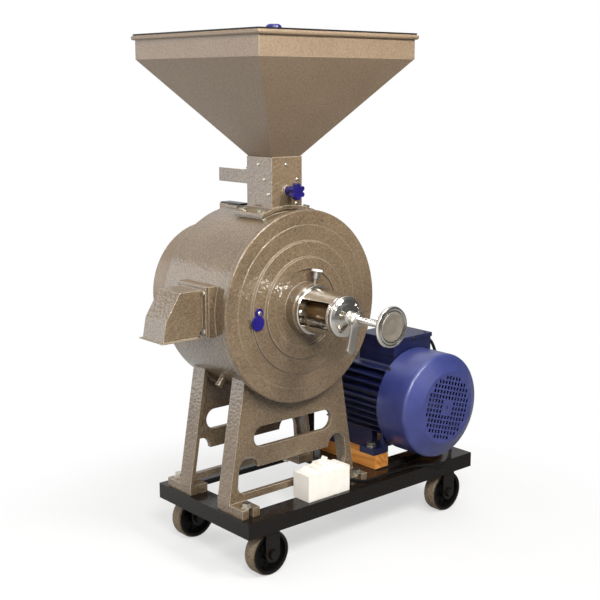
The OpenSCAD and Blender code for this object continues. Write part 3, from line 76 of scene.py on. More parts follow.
# %% Camera
RIGHT = Vector((0.7547, -0.6561, 0.0))
UP = Vector((0.1260, 0.1449, 0.9815))
BACK = Vector((-0.6439, -0.7407, 0.1920))
CAMERA_PLACE = at(-1381.7, -1578.9, 424.8)
FOCAL_PIXELS = 1102.1
PICTURE_PIXELS = 600
SENSOR_MM = 36
FAR_M = 30


def add_object(name, data):
    """Makes an object of some data and links it to the scene."""
    made = bpy.data.objects.new(name, data)
    bpy.context.scene.collection.objects.link(made)
    return made


camera_data = bpy.data.cameras.new("studio_camera")
camera_data.sensor_width = SENSOR_MM
camera_data.lens = FOCAL_PIXELS / PICTURE_PIXELS * SENSOR_MM
camera_data.clip_end = FAR_M
camera = add_object("studio_camera", camera_data)
turn = Matrix((RIGHT.normalized(), UP.normalized(), BACK.normalized())).transposed()
camera.matrix_world = Matrix.Translation(CAMERA_PLACE) @ turn.to_4x4()
bpy.context.scene.camera = camera
print("lens", round(camera_data.lens, 1), "mm")

# %% [markdown]
# ## The motor's cable
#
# A rubber cable leaves the gland of the terminal box, drops beside the motor, swings out in front of the
# base and runs along the front rail to the switch box. It could be a mesh tube, but a curve with a round
# bevel keeps its length and thickness exact. The points are the ones that the CAD solid follows. First a
# smooth line is laid through them.

# %% Cable route
CABLE_POINTS = [
    (412, 70, -135), (428, 69.4, -137), (443, 66.6, -147.5), (451.5, 62, -169), (457, 56, -201),
    (458, 48, -245), (457, 38, -292), (453, 24, -337), (445, 8, -366), (434, -6, -380), (420, -19, -385.5),
    (404, -31, -386.4), (389, -40.5, -387.8), (374, -45.2, -391.6), (358, -46, -393.5), (340, -44, -389),
    (322, -37, -386.4), (302, -28, -386.8), (278, -23, -386.8), (211, -23, -386.8), (171, -23, -386.8),
    (155, -23, -386.8), (142.5, -22.3, -384.9), (130, -20.5, -380.4), (117.5, -18.7, -375.9),
    (107, -18, -374), (101, -18, -374),
]
ROUTE_STEPS = 6


def smooth_line(points, steps):
    """Points on a smooth curve through the given ones."""
    line = []
    last = len(points) - 1
    for i in range(last):
        a, b, c, d = (points[min(max(k, 0), last)] for k in (i - 1, i, i + 1, i + 2))
        for k in range(steps):
            t = k / steps
            line.append(0.5 * (2 * b + (c - a) * t + (2 * a - 5 * b + 4 * c - d) * t ** 2
                               + (3 * b - a - 3 * c + d) * t ** 3))
    line.append(points[last])
    return line


route = smooth_line([at(*p) for p in CABLE_POINTS], ROUTE_STEPS)

# %% [markdown]
# The bevel is one metre, and each point's own radius scales it down to the cable's. A curve's box grows by
# its points' radius, so in this way the curve's box is the cable's box.

# %% Cable
CABLE_D = 0.007
cable_data = bpy.data.curves.new("motor_cable", "CURVE")
cable_data.dimensions = "3D"
cable_data.bevel_depth = 1.0
cable_data.bevel_resolution = 4
cable_data.use_fill_caps = True
spline = cable_data.splines.new("POLY")
spline.points.add(len(route) - 1)
for point, place in zip(spline.points, route):
    point.co = (*place, 1)
    point.radius = CABLE_D / 2
motor_cable = add_object("motor_cable", cable_data)
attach(motor_cable, "frame")
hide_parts("power_cable")
print("cable of", len(route), "points")

# %% [markdown]
# ## Tools for the finishes
#
# A finish is a small tree of nodes. A few helpers are enough: one turns the hex colour that a designer
# writes into the linear values that a shader needs, one fills a node's sockets, one adds a node, and one
# starts a material.

# %% Colour and node helpers
COLOUR = {"data_type": "RGBA"}
finishes = {}


def linear(code):
    """An sRGB hex colour as linear RGBA."""
    parts = [int(code[i:i + 2], 16) / 255 for i in (1, 3, 5)]
    return tuple(c / 12.92 if c <= 0.04045 else ((c + 0.055) / 1.055) ** 2.4 for c in parts) + (1.0,)


def fill(tree, node, **sockets):
    """Fills sockets, by name or by number as i0, i1 and so on, with a value or another node's output."""
    for name, value in sockets.items():
        key = int(name[1:]) if name[0] == "i" and name[1:].isdigit() else name.replace("_", " ")
        if isinstance(value, bpy.types.NodeSocket):
            tree.links.new(value, node.inputs[key])
        else:
            node.inputs[key].default_value = value


def add(tree, kind, settings=None, **sockets):
    """Adds a node with its settings and its sockets."""
    made = tree.nodes.new(kind)
    for name, value in (settings or {}).items():
        setattr(made, name, value)
    fill(tree, made, **sockets)
    return made


def start(name, **sockets):
    """A new material: its tree, its main shader with fixed values, and the object's own coordinates."""
    material = bpy.data.materials.new(name)
    material.use_nodes = True
    tree = material.node_tree
    shader = tree.nodes["Principled BSDF"]
    fill(tree, shader, **sockets)
    where = tree.nodes.new("ShaderNodeTexCoord").outputs["Object"]
    return material, tree, shader, where


print("helpers ready")

# %% [markdown]
# ## Hammertone paint
#
# The castings and the sheet work wear a stoving paint that draws together into small dimples while it
# dries. Aluminium flakes lie in it, so the paint is a warm grey-brown, speckled, with a soft, pale sheen
# on the side of the light. Rounded cells give the dimples: about 6 mm wide and plain to see on the rough
# castings, finer and shallower on the smooth sheet. The edges get a painted highlight: a pale, broken line
# in the colour that stands in for the light that rounded edges catch. To find the edges, the shader
# compares a rounded normal with the true one; painting them by hand would need a map.

# %% Painted edge highlights
# Colour of the painted edge highlight, which stands in for the light caught by rounded edges.
EDGE_HIGHLIGHT_PALE = "#d6cab4"


def edge_of(tree, rounded):
    """How far the rounded normal leaves the true one: nought on a face, rising on an edge."""
    face = add(tree, "ShaderNodeNewGeometry")
    along = add(tree, "ShaderNodeVectorMath", {"operation": "DOT_PRODUCT"}, i0=face.outputs["Normal"],
                i1=rounded.outputs["Normal"])
    return add(tree, "ShaderNodeMapRange", Value=along.outputs["Value"], From_Min=0.99, From_Max=0.8)


print("edges in", EDGE_HIGHLIGHT_PALE)

# %% [markdown]
# The clear top of the paint flows out more evenly than the dimples below it. So the shader's coat gets the
# same bump, but weaker, and the highlight breaks into small sparks.

# %% Hammertone
CLOUD_MM = 90
DIMPLE_LIFT = 0.6
TOP_LIFT = 0.16


def hammertone(name, pale, dark, fleck_mm, dimple_mm, depth_mm, edge_mm, gloss):
    """The paint, from the sizes of its flecks, dimples and edges and the gloss of its top."""
    paint, tree, shader, where = start(name, Metallic=0.15, Specular_IOR_Level=0.5, Coat_Weight=gloss,
                                       Coat_Roughness=0.07)
    bend = add(tree, "ShaderNodeTexNoise", Vector=where, Scale=1000 / dimple_mm, Detail=2.0)
    cells = add(tree, "ShaderNodeTexVoronoi", {"feature": "SMOOTH_F1"}, Vector=where,
                Scale=1000 / dimple_mm, Smoothness=0.6, Randomness=1.0)
    fleck = add(tree, "ShaderNodeTexNoise", Vector=where, Scale=1000 / fleck_mm, Detail=2.0, Roughness=0.7)
    cloud = add(tree, "ShaderNodeTexNoise", Vector=where, Scale=1000 / CLOUD_MM, Detail=3.0)
    both = add(tree, "ShaderNodeMath", {"operation": "MULTIPLY_ADD"}, i0=bend.outputs["Fac"], i1=0.8,
               i2=cells.outputs["Distance"])
    mixed = add(tree, "ShaderNodeMath", {"operation": "MULTIPLY_ADD"}, i0=cloud.outputs["Fac"], i1=0.3,
                i2=fleck.outputs["Fac"])
    part = add(tree, "ShaderNodeMapRange", Value=mixed.outputs["Value"], From_Min=0.4, From_Max=0.9)
    colour = add(tree, "ShaderNodeMix", COLOUR, i0=part.outputs["Result"], i6=linear(pale), i7=linear(dark))
    rough = add(tree, "ShaderNodeMapRange", Value=both.outputs["Value"], From_Min=0.5, From_Max=1.2,
                To_Min=0.34, To_Max=0.5)
    rounded = add(tree, "ShaderNodeBevel", {"samples": 6}, Radius=edge_mm / 1000)
    edge = edge_of(tree, rounded)
    # Painted edge highlight: the edge mask, broken up by the flecks, mixes the pale colour into the paint.
    worn = add(tree, "ShaderNodeMapRange", Value=fleck.outputs["Fac"], From_Min=0.3, From_Max=0.65,
               To_Min=0.3, To_Max=0.9)
    painted_edge_highlight = add(tree, "ShaderNodeMath", {"operation": "MULTIPLY"}, i0=edge.outputs["Result"],
                 i1=worn.outputs["Result"])
    lit = add(tree, "ShaderNodeMix", COLOUR, i0=painted_edge_highlight.outputs["Value"], i6=colour.outputs[2],
              i7=linear(EDGE_HIGHLIGHT_PALE))
    dimples = {"Distance": depth_mm / 1000, "Height": both.outputs["Value"],
               "Normal": rounded.outputs["Normal"]}
    bump = add(tree, "ShaderNodeBump", {"invert": True}, Strength=DIMPLE_LIFT, **dimples)
    sparkle = add(tree, "ShaderNodeBump", {"invert": True}, Strength=TOP_LIFT, **dimples)
    fill(tree, shader, Base_Color=lit.outputs[2], Roughness=rough.outputs["Result"],
         Normal=bump.outputs["Normal"], Coat_Normal=sparkle.outputs["Normal"])
    return paint


finishes["hammertone"] = hammertone("hammertone paint on sheet", "#927f68", "#745f49", fleck_mm=3,
                                    dimple_mm=4, depth_mm=0.3, edge_mm=2.2, gloss=0.15)
cast_hammertone = hammertone("hammertone paint on castings", "#8f7b60", "#463523", fleck_mm=2.4,
                             dimple_mm=6, depth_mm=1.9, edge_mm=2.2, gloss=0.7)
print("hammertone on cells of 4 and 6 mm")

# %% [markdown]
# ## Black frame paint
#
# The angle steel of the base is brushed with black paint. It shows the studio in long soft streaks, and
# its level faces are paler: a painted sheen of the light from above. The sheen could be a second material
# on some faces, but reading the direction of the face puts it on top everywhere.

# %% Black paint
BRUSH_MM = 14


def brushed_black():
    """Black paint with brush marks, and a painted sheen on what faces up."""
    paint, tree, shader, where = start("brushed black frame paint", Specular_IOR_Level=0.22,
                                       Coat_Weight=0.08, Coat_Roughness=0.12)
    brush = add(tree, "ShaderNodeTexNoise", Vector=where, Scale=1000 / BRUSH_MM, Detail=4.0)
    face = add(tree, "ShaderNodeNewGeometry")
    level = add(tree, "ShaderNodeSeparateXYZ", Vector=face.outputs["Normal"])
    # Painted sheen: faces that look up take the paler colour, in streaks of the brush noise.
    dust_and_sheen = add(tree, "ShaderNodeMath", {"operation": "MULTIPLY", "use_clamp": True}, i0=level.outputs["Z"],
               i1=brush.outputs["Fac"])
    colour = add(tree, "ShaderNodeMix", COLOUR, i0=dust_and_sheen.outputs["Value"], i6=linear("#15110e"),
                 i7=linear("#211a15"))
    rough = add(tree, "ShaderNodeMapRange", Value=brush.outputs["Fac"], From_Min=0.3, From_Max=0.75,
                To_Min=0.16, To_Max=0.34)
    rounded = add(tree, "ShaderNodeBevel", {"samples": 4}, Radius=0.0012)
    bump = add(tree, "ShaderNodeBump", Strength=0.15, Distance=0.0005, Height=brush.outputs["Fac"],
               Normal=rounded.outputs["Normal"])
    fill(tree, shader, Base_Color=colour.outputs[2], Roughness=rough.outputs["Result"],
         Normal=bump.outputs["Normal"])
    return paint


finishes["black_frame"] = brushed_black()
print("black frame paint ready")

# %% [markdown]
# ## Plain surfaces from one recipe
#
# Many finishes differ only in numbers: a colour that drifts a little, a roughness that follows a grain,
# a shallow bump and slightly broken edges. Enamel has orange peel about 2 mm from crest to crest. Chrome
# is a near mirror with smears from greasy hands. Zinc plate is paler and a little yellow. Turned steel and
# iron keep a dull, grey shine, and old grease makes the sleeve in the adjuster brown. A mould gives plastic
# a fine even grain, rubber is the same but duller, and the stones have coarse grit. So one recipe makes
# them all.

# %% The recipe
CLOUD_GRAINS = 14


def plain(name, low, high, smooth, dull, grain_mm, lift, edge_mm, fixed):
    """A surface between two colours and two roughnesses, with a grain, a bump and rounded edges."""
    made, tree, shader, where = start(name, **fixed)
    grain = add(tree, "ShaderNodeTexNoise", Vector=where, Scale=1000 / grain_mm, Detail=3.0)
    cloud = add(tree, "ShaderNodeTexNoise", Vector=where, Scale=1000 / (grain_mm * CLOUD_GRAINS),
                Detail=2.0)
    part = add(tree, "ShaderNodeMapRange", Value=cloud.outputs["Fac"], From_Min=0.3, From_Max=0.7)
    colour = add(tree, "ShaderNodeMix", COLOUR, i0=part.outputs["Result"], i6=linear(low), i7=linear(high))
    rough = add(tree, "ShaderNodeMapRange", Value=grain.outputs["Fac"], From_Min=0.3, From_Max=0.7,
                To_Min=smooth, To_Max=dull)
    rounded = add(tree, "ShaderNodeBevel", {"samples": 4}, Radius=edge_mm / 1000)
    bump = add(tree, "ShaderNodeBump", Strength=lift, Distance=0.0003, Height=grain.outputs["Fac"],
               Normal=rounded.outputs["Normal"])
    fill(tree, shader, Base_Color=colour.outputs[2], Roughness=rough.outputs["Result"],
         Normal=bump.outputs["Normal"])
    return made


print("recipe ready")

# %% [markdown]
# The two cards below read like a maker's paint card. Each line gives the name, the darker and the paler
# colour, the smoothest and the dullest roughness, the grain in millimetres, the strength of the bump, the
# radius of the edges in millimetres, and the shader values that stay the same all over. The first card is
# by finish, and the second is for single pieces that differ from the rest of their finish. The motor's navy
# enamel comes in two copies: the cast motor's own is darkened as a painted shade for its shaded fins, and
# the pressed fan cover's is paler, a painted light where it faces the lamps. The nut's lever has rubbed,
# rounded edges.

# %% Paint cards
METAL = {"Metallic": 1.0}
FINISH_CARD = {
    # Navy enamel darkened as a painted shade for the shaded fins; the fan cover gets a paler copy.
    "motor_blue": ("satin navy enamel", "#0f1437", "#171d47", 0.36, 0.46, 2.2, 0.15, 1.5,
                   {"Coat_Weight": 0.2, "Coat_Roughness": 0.3}),
    "chrome": ("chrome plate", "#d3cfc6", "#e6e3dc", 0.08, 0.2, 5, 0.03, 0.8, METAL),
    "zinc_fixings": ("zinc plated steel", "#b9b4a4", "#d6d1c2", 0.24, 0.4, 3, 0.1, 0.6, METAL),
    "shaft_steel": ("turned steel", "#8f8a80", "#b7b2a8", 0.25, 0.4, 3, 0.1, 0.6, METAL),
    "oiled_steel": ("greased brown steel", "#4b361c", "#684c29", 0.4, 0.6, 6, 0.1, 0.6, {"Metallic": 0.2}),
    "machined_iron": ("turned cast iron", "#5a554e", "#77716a", 0.4, 0.6, 3, 0.1, 0.6, METAL),
    "blue_plastic": ("dark blue moulded plastic", "#150b5c", "#1e1272", 0.24, 0.36, 1.5, 0.1, 0.8, {}),
    "white_plastic": ("warm white moulded plastic", "#f3ece0", "#f9f3e8", 0.3, 0.42, 1.5, 0.08, 1.5, {}),
    "black_plastic": ("matt black plastic", "#161514", "#201f1e", 0.45, 0.6, 1.2, 0.15, 0.8, {}),
    "belt_rubber": ("belt rubber", "#191817", "#262422", 0.6, 0.75, 1.5, 0.3, 0.8, {}),
    "cable_rubber": ("black rubber sheath", "#0b0a09", "#141312", 0.42, 0.55, 1.5, 0.15, 0.8,
                     {"Specular_IOR_Level": 0.25}),
    "stone": ("emery stone", "#3a3632", "#5c554c", 0.8, 0.95, 3, 0.9, 0.8, {}),
}
PIECE_CARD = {
    # A paler copy of the motor's navy enamel: painted light where the fan cover faces the lamps.
    "fan_cover": ("navy enamel paled as painted light", "#323870", "#3d447f", 0.32, 0.42, 2.2, 0.12, 1.5,
                  {"Coat_Weight": 0.4, "Coat_Roughness": 0.28}),
    "lock_nut": ("chrome plate on a rounded bar", "#c4c0b8", "#e6e3dc", 0.1, 0.22, 7, 0.2, 5, METAL),
    "star_knob": ("navy moulded plastic", "#120a50", "#1a1066", 0.3, 0.42, 1.5, 0.1, 0.8, {}),
    "hopper_lid": ("satin black sheet", "#0f0d0c", "#191613", 0.46, 0.6, 3, 0.1, 1.0,
                   {"Specular_IOR_Level": 0.3}),
}
finishes.update({slot: plain(*line) for slot, line in FINISH_CARD.items()})
own_finish = {node: plain(*line) for node, line in PIECE_CARD.items()}
print(len(finishes), "finishes and", len(own_finish), "for single pieces")

# %% [markdown]
# ## Stained wood
#
# The motor sits on two hardwood blocks with an orange stain. The grain runs along the block: bands bent by
# a noise that is stretched along the length, and pores about 1.6 mm apart. A picture of wood would repeat,
# so waves and noise draw it.

# %% Wood
STRETCH = (1.0, 0.12, 1.0)
BEND_MM = 12
BAND_MM = 30
PORE_MM = 1.6


def stained_wood():
    """Orange hardwood with its grain along Y."""
    made, tree, shader, where = start("orange stained hardwood", Coat_Weight=0.1, Coat_Roughness=0.3)
    along = add(tree, "ShaderNodeMapping", Vector=where, Scale=STRETCH)
    bend = add(tree, "ShaderNodeTexNoise", Vector=along.outputs["Vector"], Scale=1000 / BEND_MM, Detail=4.0)
    bands = add(tree, "ShaderNodeTexWave", {"wave_type": "BANDS", "bands_direction": "DIAGONAL"},
                Vector=along.outputs["Vector"], Scale=1000 / BAND_MM, Distortion=6.0, Detail=3.0)
    pores = add(tree, "ShaderNodeTexNoise", Vector=along.outputs["Vector"], Scale=1000 / PORE_MM,
                Detail=2.0)
    both = add(tree, "ShaderNodeMath", {"operation": "MULTIPLY_ADD"}, i0=bands.outputs["Fac"], i1=0.3,
               i2=bend.outputs["Fac"])
    part = add(tree, "ShaderNodeMapRange", Value=both.outputs["Value"], From_Min=0.3, From_Max=0.9)
    colour = add(tree, "ShaderNodeMix", COLOUR, i0=part.outputs["Result"], i6=linear("#cd7326"),
                 i7=linear("#f2ab58"))
    rough = add(tree, "ShaderNodeMapRange", Value=pores.outputs["Fac"], From_Min=0.3, From_Max=0.6,
                To_Min=0.6, To_Max=0.42)
    bump = add(tree, "ShaderNodeBump", Strength=0.2, Distance=0.0004, Height=pores.outputs["Fac"])
    fill(tree, shader, Base_Color=colour.outputs[2], Roughness=rough.outputs["Result"],
         Normal=bump.outputs["Normal"])
    return made


finishes["wood"] = stained_wood()
print("wood ready")

# %% [markdown]
# ## Worn wheels
#
# The wheels are dark castings. Rolling has rubbed the tread to a dusty brown, so the finish reads how far
# a point is from the axle. Each wheel has its own centre, so each gets its own copy of the finish. The
# list gives each wheel's body and centre.

# %% Wheels and their axles
WHEELS = {
    "wheel_front_left": ("wheel_fl", (-105, -11, -471)),
    "wheel_front_right": ("wheel_fr", (405, -11, -471)),
    "wheel_rear_left": ("wheel_rl", (-105, 235, -471)),
    "wheel_rear_right": ("wheel_rr", (405, 235, -471)),
}


def from_axis(tree, where, centre):
    """How far a point is from the axis along Y through a centre, in metres."""
    moved = add(tree, "ShaderNodeVectorMath", {"operation": "SUBTRACT"}, i0=where, i1=tuple(centre))
    flat = add(tree, "ShaderNodeVectorMath", {"operation": "MULTIPLY"}, i0=moved.outputs["Vector"],
               i1=(1, 0, 1))
    reach = add(tree, "ShaderNodeVectorMath", {"operation": "LENGTH"}, i0=flat.outputs["Vector"])
    return reach.outputs["Value"]


print(len(WHEELS), "wheels")

# %% Wheel finishes
TREAD_FROM = 0.041
TREAD_TO = 0.0448
GRIT_MM = 4


def worn_wheel(name, centre):
    """A dark, gritty casting, rubbed brown on its tread."""
    made, tree, shader, where = start(name, Specular_IOR_Level=0.2)
    grit = add(tree, "ShaderNodeTexNoise", Vector=where, Scale=1000 / GRIT_MM, Detail=4.0,
               Roughness=0.65)
    worn = add(tree, "ShaderNodeMapRange", Value=from_axis(tree, where, centre), From_Min=TREAD_FROM,
               From_Max=TREAD_TO)
    dust_and_sheen = add(tree, "ShaderNodeMapRange", Value=grit.outputs["Fac"], From_Min=0.35, From_Max=0.6,
               To_Min=0.45)
    mixed = add(tree, "ShaderNodeMath", {"operation": "MULTIPLY"}, i0=worn.outputs["Result"],
                i1=dust_and_sheen.outputs["Result"])
    colour = add(tree, "ShaderNodeMix", COLOUR, i0=mixed.outputs["Value"], i6=linear("#0a0807"),
                 i7=linear("#8a7963"))
    rough = add(tree, "ShaderNodeMapRange", Value=grit.outputs["Fac"], From_Min=0.3, From_Max=0.7,
                To_Min=0.42, To_Max=0.65)
    rounded = add(tree, "ShaderNodeBevel", {"samples": 4}, Radius=0.001)
    bump = add(tree, "ShaderNodeBump", Strength=0.3, Distance=0.0005, Height=grit.outputs["Fac"],
               Normal=rounded.outputs["Normal"])
    fill(tree, shader, Base_Color=colour.outputs[2], Roughness=rough.outputs["Result"],
         Normal=bump.outputs["Normal"])
    return made


for node, (body, place) in WHEELS.items():
    own_finish[node] = worn_wheel("worn " + node.replace("_", " "), at(*place))
print("tread worn from", TREAD_FROM, "m off the axle")

# %% [markdown]
# ## Dressing the CAD nodes
#
# The record says which finish each node takes. The castings, and the neck, the tray and the chute beside
# them, have the thicker, rougher coat of hammertone. Some pieces have a finish of their own.

# %% Finishes on the nodes
THICK_COAT = ("front_stand", "rear_stand", "drum_casing", "front_cover", "feed_neck", "slide_tray",
              "outlet_chute")
own_finish.update({node: cast_hammertone for node in THICK_COAT})
slot_of = {part["node"]: part["material_slot"] for part in frame["record"]["subparts"]}
for node, part in frame["nodes"].items():
    part.data.materials.clear()
    part.data.materials.append(own_finish[node] if node in own_finish else finishes[slot_of[node]])
motor_cable.data.materials.append(finishes["cable_rubber"])
print(len(frame["nodes"]), "nodes dressed")

# %% [markdown]
# ## Small turned pieces
#
# Rivets, screw heads and a plate are all turned shapes: a half outline, spun once round its axis. They
# could be made in CAD, but they are trim that nothing else depends on, so they are modelled here. One
# helper spins an outline, and one turns the finished mesh into an object that rides on a body.

# %% Helpers for pieces
def spin_outline(mesh, outline, place, axis, steps=24):
    """Spins (radius, height) points in millimetres round an axis that starts at a place."""
    along = Vector(axis).normalized()
    side = along.orthogonal().normalized()
    foot = at(*place)
    points = [mesh.verts.new(foot + (side * r + along * h) / 1000) for r, h in outline]
    edges = [mesh.edges.new(pair) for pair in zip(points, points[1:])]
    bmesh.ops.spin(mesh, geom=points + edges, cent=foot, axis=along, dvec=(0, 0, 0), angle=math.tau,
                   steps=steps, use_merge=True)


def finish_piece(name, mesh, body, finish):
    """Closes a mesh, makes an object of it and lets it ride on a body."""
    bmesh.ops.remove_doubles(mesh, verts=mesh.verts, dist=1e-6)
    bmesh.ops.recalc_face_normals(mesh, faces=mesh.faces)
    data = bpy.data.meshes.new(name)
    mesh.to_mesh(data)
    mesh.free()
    data.materials.append(finish)
    piece = add_object(name, data)
    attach(piece, body)
    print(name, len(data.polygons), "faces")


print("piece helpers ready")

# %% [markdown]
# ## Rivets of the feed neck
#
# The neck is folded from sheet and closed with round-headed rivets, set after painting, so their heads are
# bare and bright. Six show: three on the front and three on the left. A half outline of the head is spun,
# because a plain ball would lack the flat foot.

# %% Rivets
RIVET = [(0, -0.4), (3.6, -0.4), (3.6, 0.4), (3.0, 1.4), (1.6, 2.1), (0, 2.3)]
FRONT_RIVETS = [(-3, 49, 273), (25.5, 49, 243), (23.5, 49, 197)]
LEFT_RIVETS = [(-38, 90, 273), (-38, 72, 245), (-38, 60, 217)]
TO_FRONT = (0, -1, 0)
TO_LEFT = (-1, 0, 0)
rivets = bmesh.new()
for place in FRONT_RIVETS:
    spin_outline(rivets, RIVET, place, TO_FRONT)
for place in LEFT_RIVETS:
    spin_outline(rivets, RIVET, place, TO_LEFT)
finish_piece("neck_rivets", rivets, "frame", finishes["zinc_fixings"])

# %% [markdown]
# ## Small screws
#
# A locking screw sits in the drum's top, in front of the neck, square to the drum's round. The fan cover is
# held by four screws through its rim, and one screw closes the terminal lid. A chamfer round the head and
# a domed top catch the light, so the head is spun like the rivets.

# %% Drum screw
DRUM_HEAD = [(0, -1), (3.6, -1), (3.6, 5), (2.8, 6), (0, 6.2)]
DRUM_PLACE = (-67.4, 33, 169)
DRUM_OUTWARD = (-0.37, 0, 0.929)
drum_screw = bmesh.new()
spin_outline(drum_screw, DRUM_HEAD, DRUM_PLACE, DRUM_OUTWARD)
finish_piece("drum_screw", drum_screw, "frame", finishes["zinc_fixings"])

# %% Motor screws
MOTOR_HEAD = [(0, -0.5), (3.8, -0.5), (3.8, 1.4), (3.1, 2.3), (1.6, 2.7), (0, 2.8)]
MOTOR_X = 335
MOTOR_Z = -250
COVER_R = 113
COVER_SCREW_Y = 13
TERMINAL_SCREW = (MOTOR_X, 20, -115.5)
cover_screws = bmesh.new()
for angle in (45, 135, 225, 315):
    way = (math.cos(math.radians(angle)), 0, math.sin(math.radians(angle)))
    place = (MOTOR_X + COVER_R * way[0], COVER_SCREW_Y, MOTOR_Z + COVER_R * way[2])
    spin_outline(cover_screws, MOTOR_HEAD, place, way)
spin_outline(cover_screws, MOTOR_HEAD, TERMINAL_SCREW, TO_FRONT)
finish_piece("motor_screws", cover_screws, "frame", finishes["black_plastic"])

# %% [markdown]
# ## Webs of the wheels
#
# A wheel this small is often cast with a thin web between its spokes, so that no string winds round the
# axle. No light shows through the wheels, so each gets such a web: a flat ring between hub and rim. Four
# bevelled corners make its outline, and it turns with its wheel.

# %% Wheel webs
WEB = [(16, -1.2), (34.6, -1.2), (35, 0), (34.6, 1.2), (16, 1.2), (15.6, 0), (16, -1.2)]
AXLE = (0, 1, 0)
for node, (body, place) in WHEELS.items():
    web = bmesh.new()
    spin_outline(web, WEB, place, AXLE, 40)
    finish_piece(node + "_web", web, body, own_finish[node])

# %% [markdown]
# ## Face of the handwheel
#
# The handwheel's rim is polished, but its dished face is turned and left matt, with the fine rings of the
# tool. Real tool marks are far finer than a millimetre, so they are drawn 1.5 mm apart to show. A thin
# turned plate that follows the dish gives the face its own finish. It turns with the wheel.

# %% Turned finish
FACE_PLACE = (0, -242, 0)
RING_MM = 1.5
SMEAR_MM = 9


def turned_face(centre):
    """A matt turned face: rings round the centre, drawn by the distance from the axis."""
    made, tree, shader, where = start("matt turned face", Metallic=0.55)
    phase = add(tree, "ShaderNodeMath", {"operation": "MULTIPLY"}, i0=from_axis(tree, where, centre),
                i1=math.tau * 1000 / RING_MM)
    rings = add(tree, "ShaderNodeMath", {"operation": "SINE"}, i0=phase.outputs["Value"])
    smear = add(tree, "ShaderNodeTexNoise", Vector=where, Scale=1000 / SMEAR_MM, Detail=3.0)
    colour = add(tree, "ShaderNodeMix", COLOUR, i0=smear.outputs["Fac"], i6=linear("#7d7466"),
                 i7=linear("#a0978a"))
    rough = add(tree, "ShaderNodeMapRange", Value=smear.outputs["Fac"], From_Min=0.3, From_Max=0.7,
                To_Min=0.42, To_Max=0.58)
    bump = add(tree, "ShaderNodeBump", Strength=0.1, Distance=0.0002, Height=rings.outputs["Value"])
    fill(tree, shader, Base_Color=colour.outputs[2], Roughness=rough.outputs["Result"],
         Normal=bump.outputs["Normal"])
    return made


matt_face = turned_face(at(*FACE_PLACE))
print("rings", RING_MM, "mm apart")

# %% Handwheel face
FACE = [(0, -4.2), (13.3, -4.6), (25.6, -2.4), (26.4, -1.2), (25.6, -0.5), (13.3, -2.6), (6, -2.3),
        (0, -2.2)]
wheel_face = bmesh.new()
spin_outline(wheel_face, FACE, FACE_PLACE, TO_FRONT, 48)
finish_piece("handwheel_face", wheel_face, "handwheel", matt_face)

# %% [markdown]
# ## Thread of the adjusting screw
#
# The screw carries a fine thread, 1.5 mm a turn, so a small turn of the wheel moves the stone very little.
# A bump could only hint at it. A triangle that is spun and moved on by one pitch a turn makes the real
# ridge.

# %% Thread
PITCH = 1.5
SCREW_R = 6.5
THREAD_START = -163
THREAD_END = -231
RIDGE = [(SCREW_R - 0.3, -0.6), (SCREW_R + 0.35, 0), (SCREW_R - 0.3, 0.6)]
TURN_STEPS = 20
turns = int((THREAD_START - THREAD_END) / PITCH)
thread = bmesh.new()
corners = [thread.verts.new(at(r, THREAD_START + y, 0)) for r, y in RIDGE]
sides = [thread.edges.new((corners[i], corners[(i + 1) % 3])) for i in range(3)]
bmesh.ops.spin(thread, geom=corners + sides, cent=at(0, THREAD_START, 0), axis=TO_FRONT,
               dvec=(0, -PITCH / 1000 / TURN_STEPS, 0), angle=math.tau * turns, steps=TURN_STEPS * turns,
               use_merge=False)
ends = [edge for edge in thread.edges if edge.is_boundary]
bmesh.ops.holes_fill(thread, edges=ends, sides=3)
finish_piece("screw_thread", thread, "handwheel", finishes["chrome"])

# %% [markdown]
# ## Floor
#
# A product picture has a pale floor. Near the object it is a plain pale surface that keeps the shadow.
# Further out it turns into pure white for the camera, so that no horizon shows behind the object. The
# paper that the light falls on is greyer than the one that the camera sees, so that the undersides of the
# object stay as dark as they are in a real studio. Metal sees the white paper only towards the sweep, on
# the left and behind.

# %% Floor paper
SWEEP_SIDE = (-0.66, 0.62, 0.42)
WHITE_FROM = 0.4
WHITE_FULL = 0.85
PAPER_MM = 300


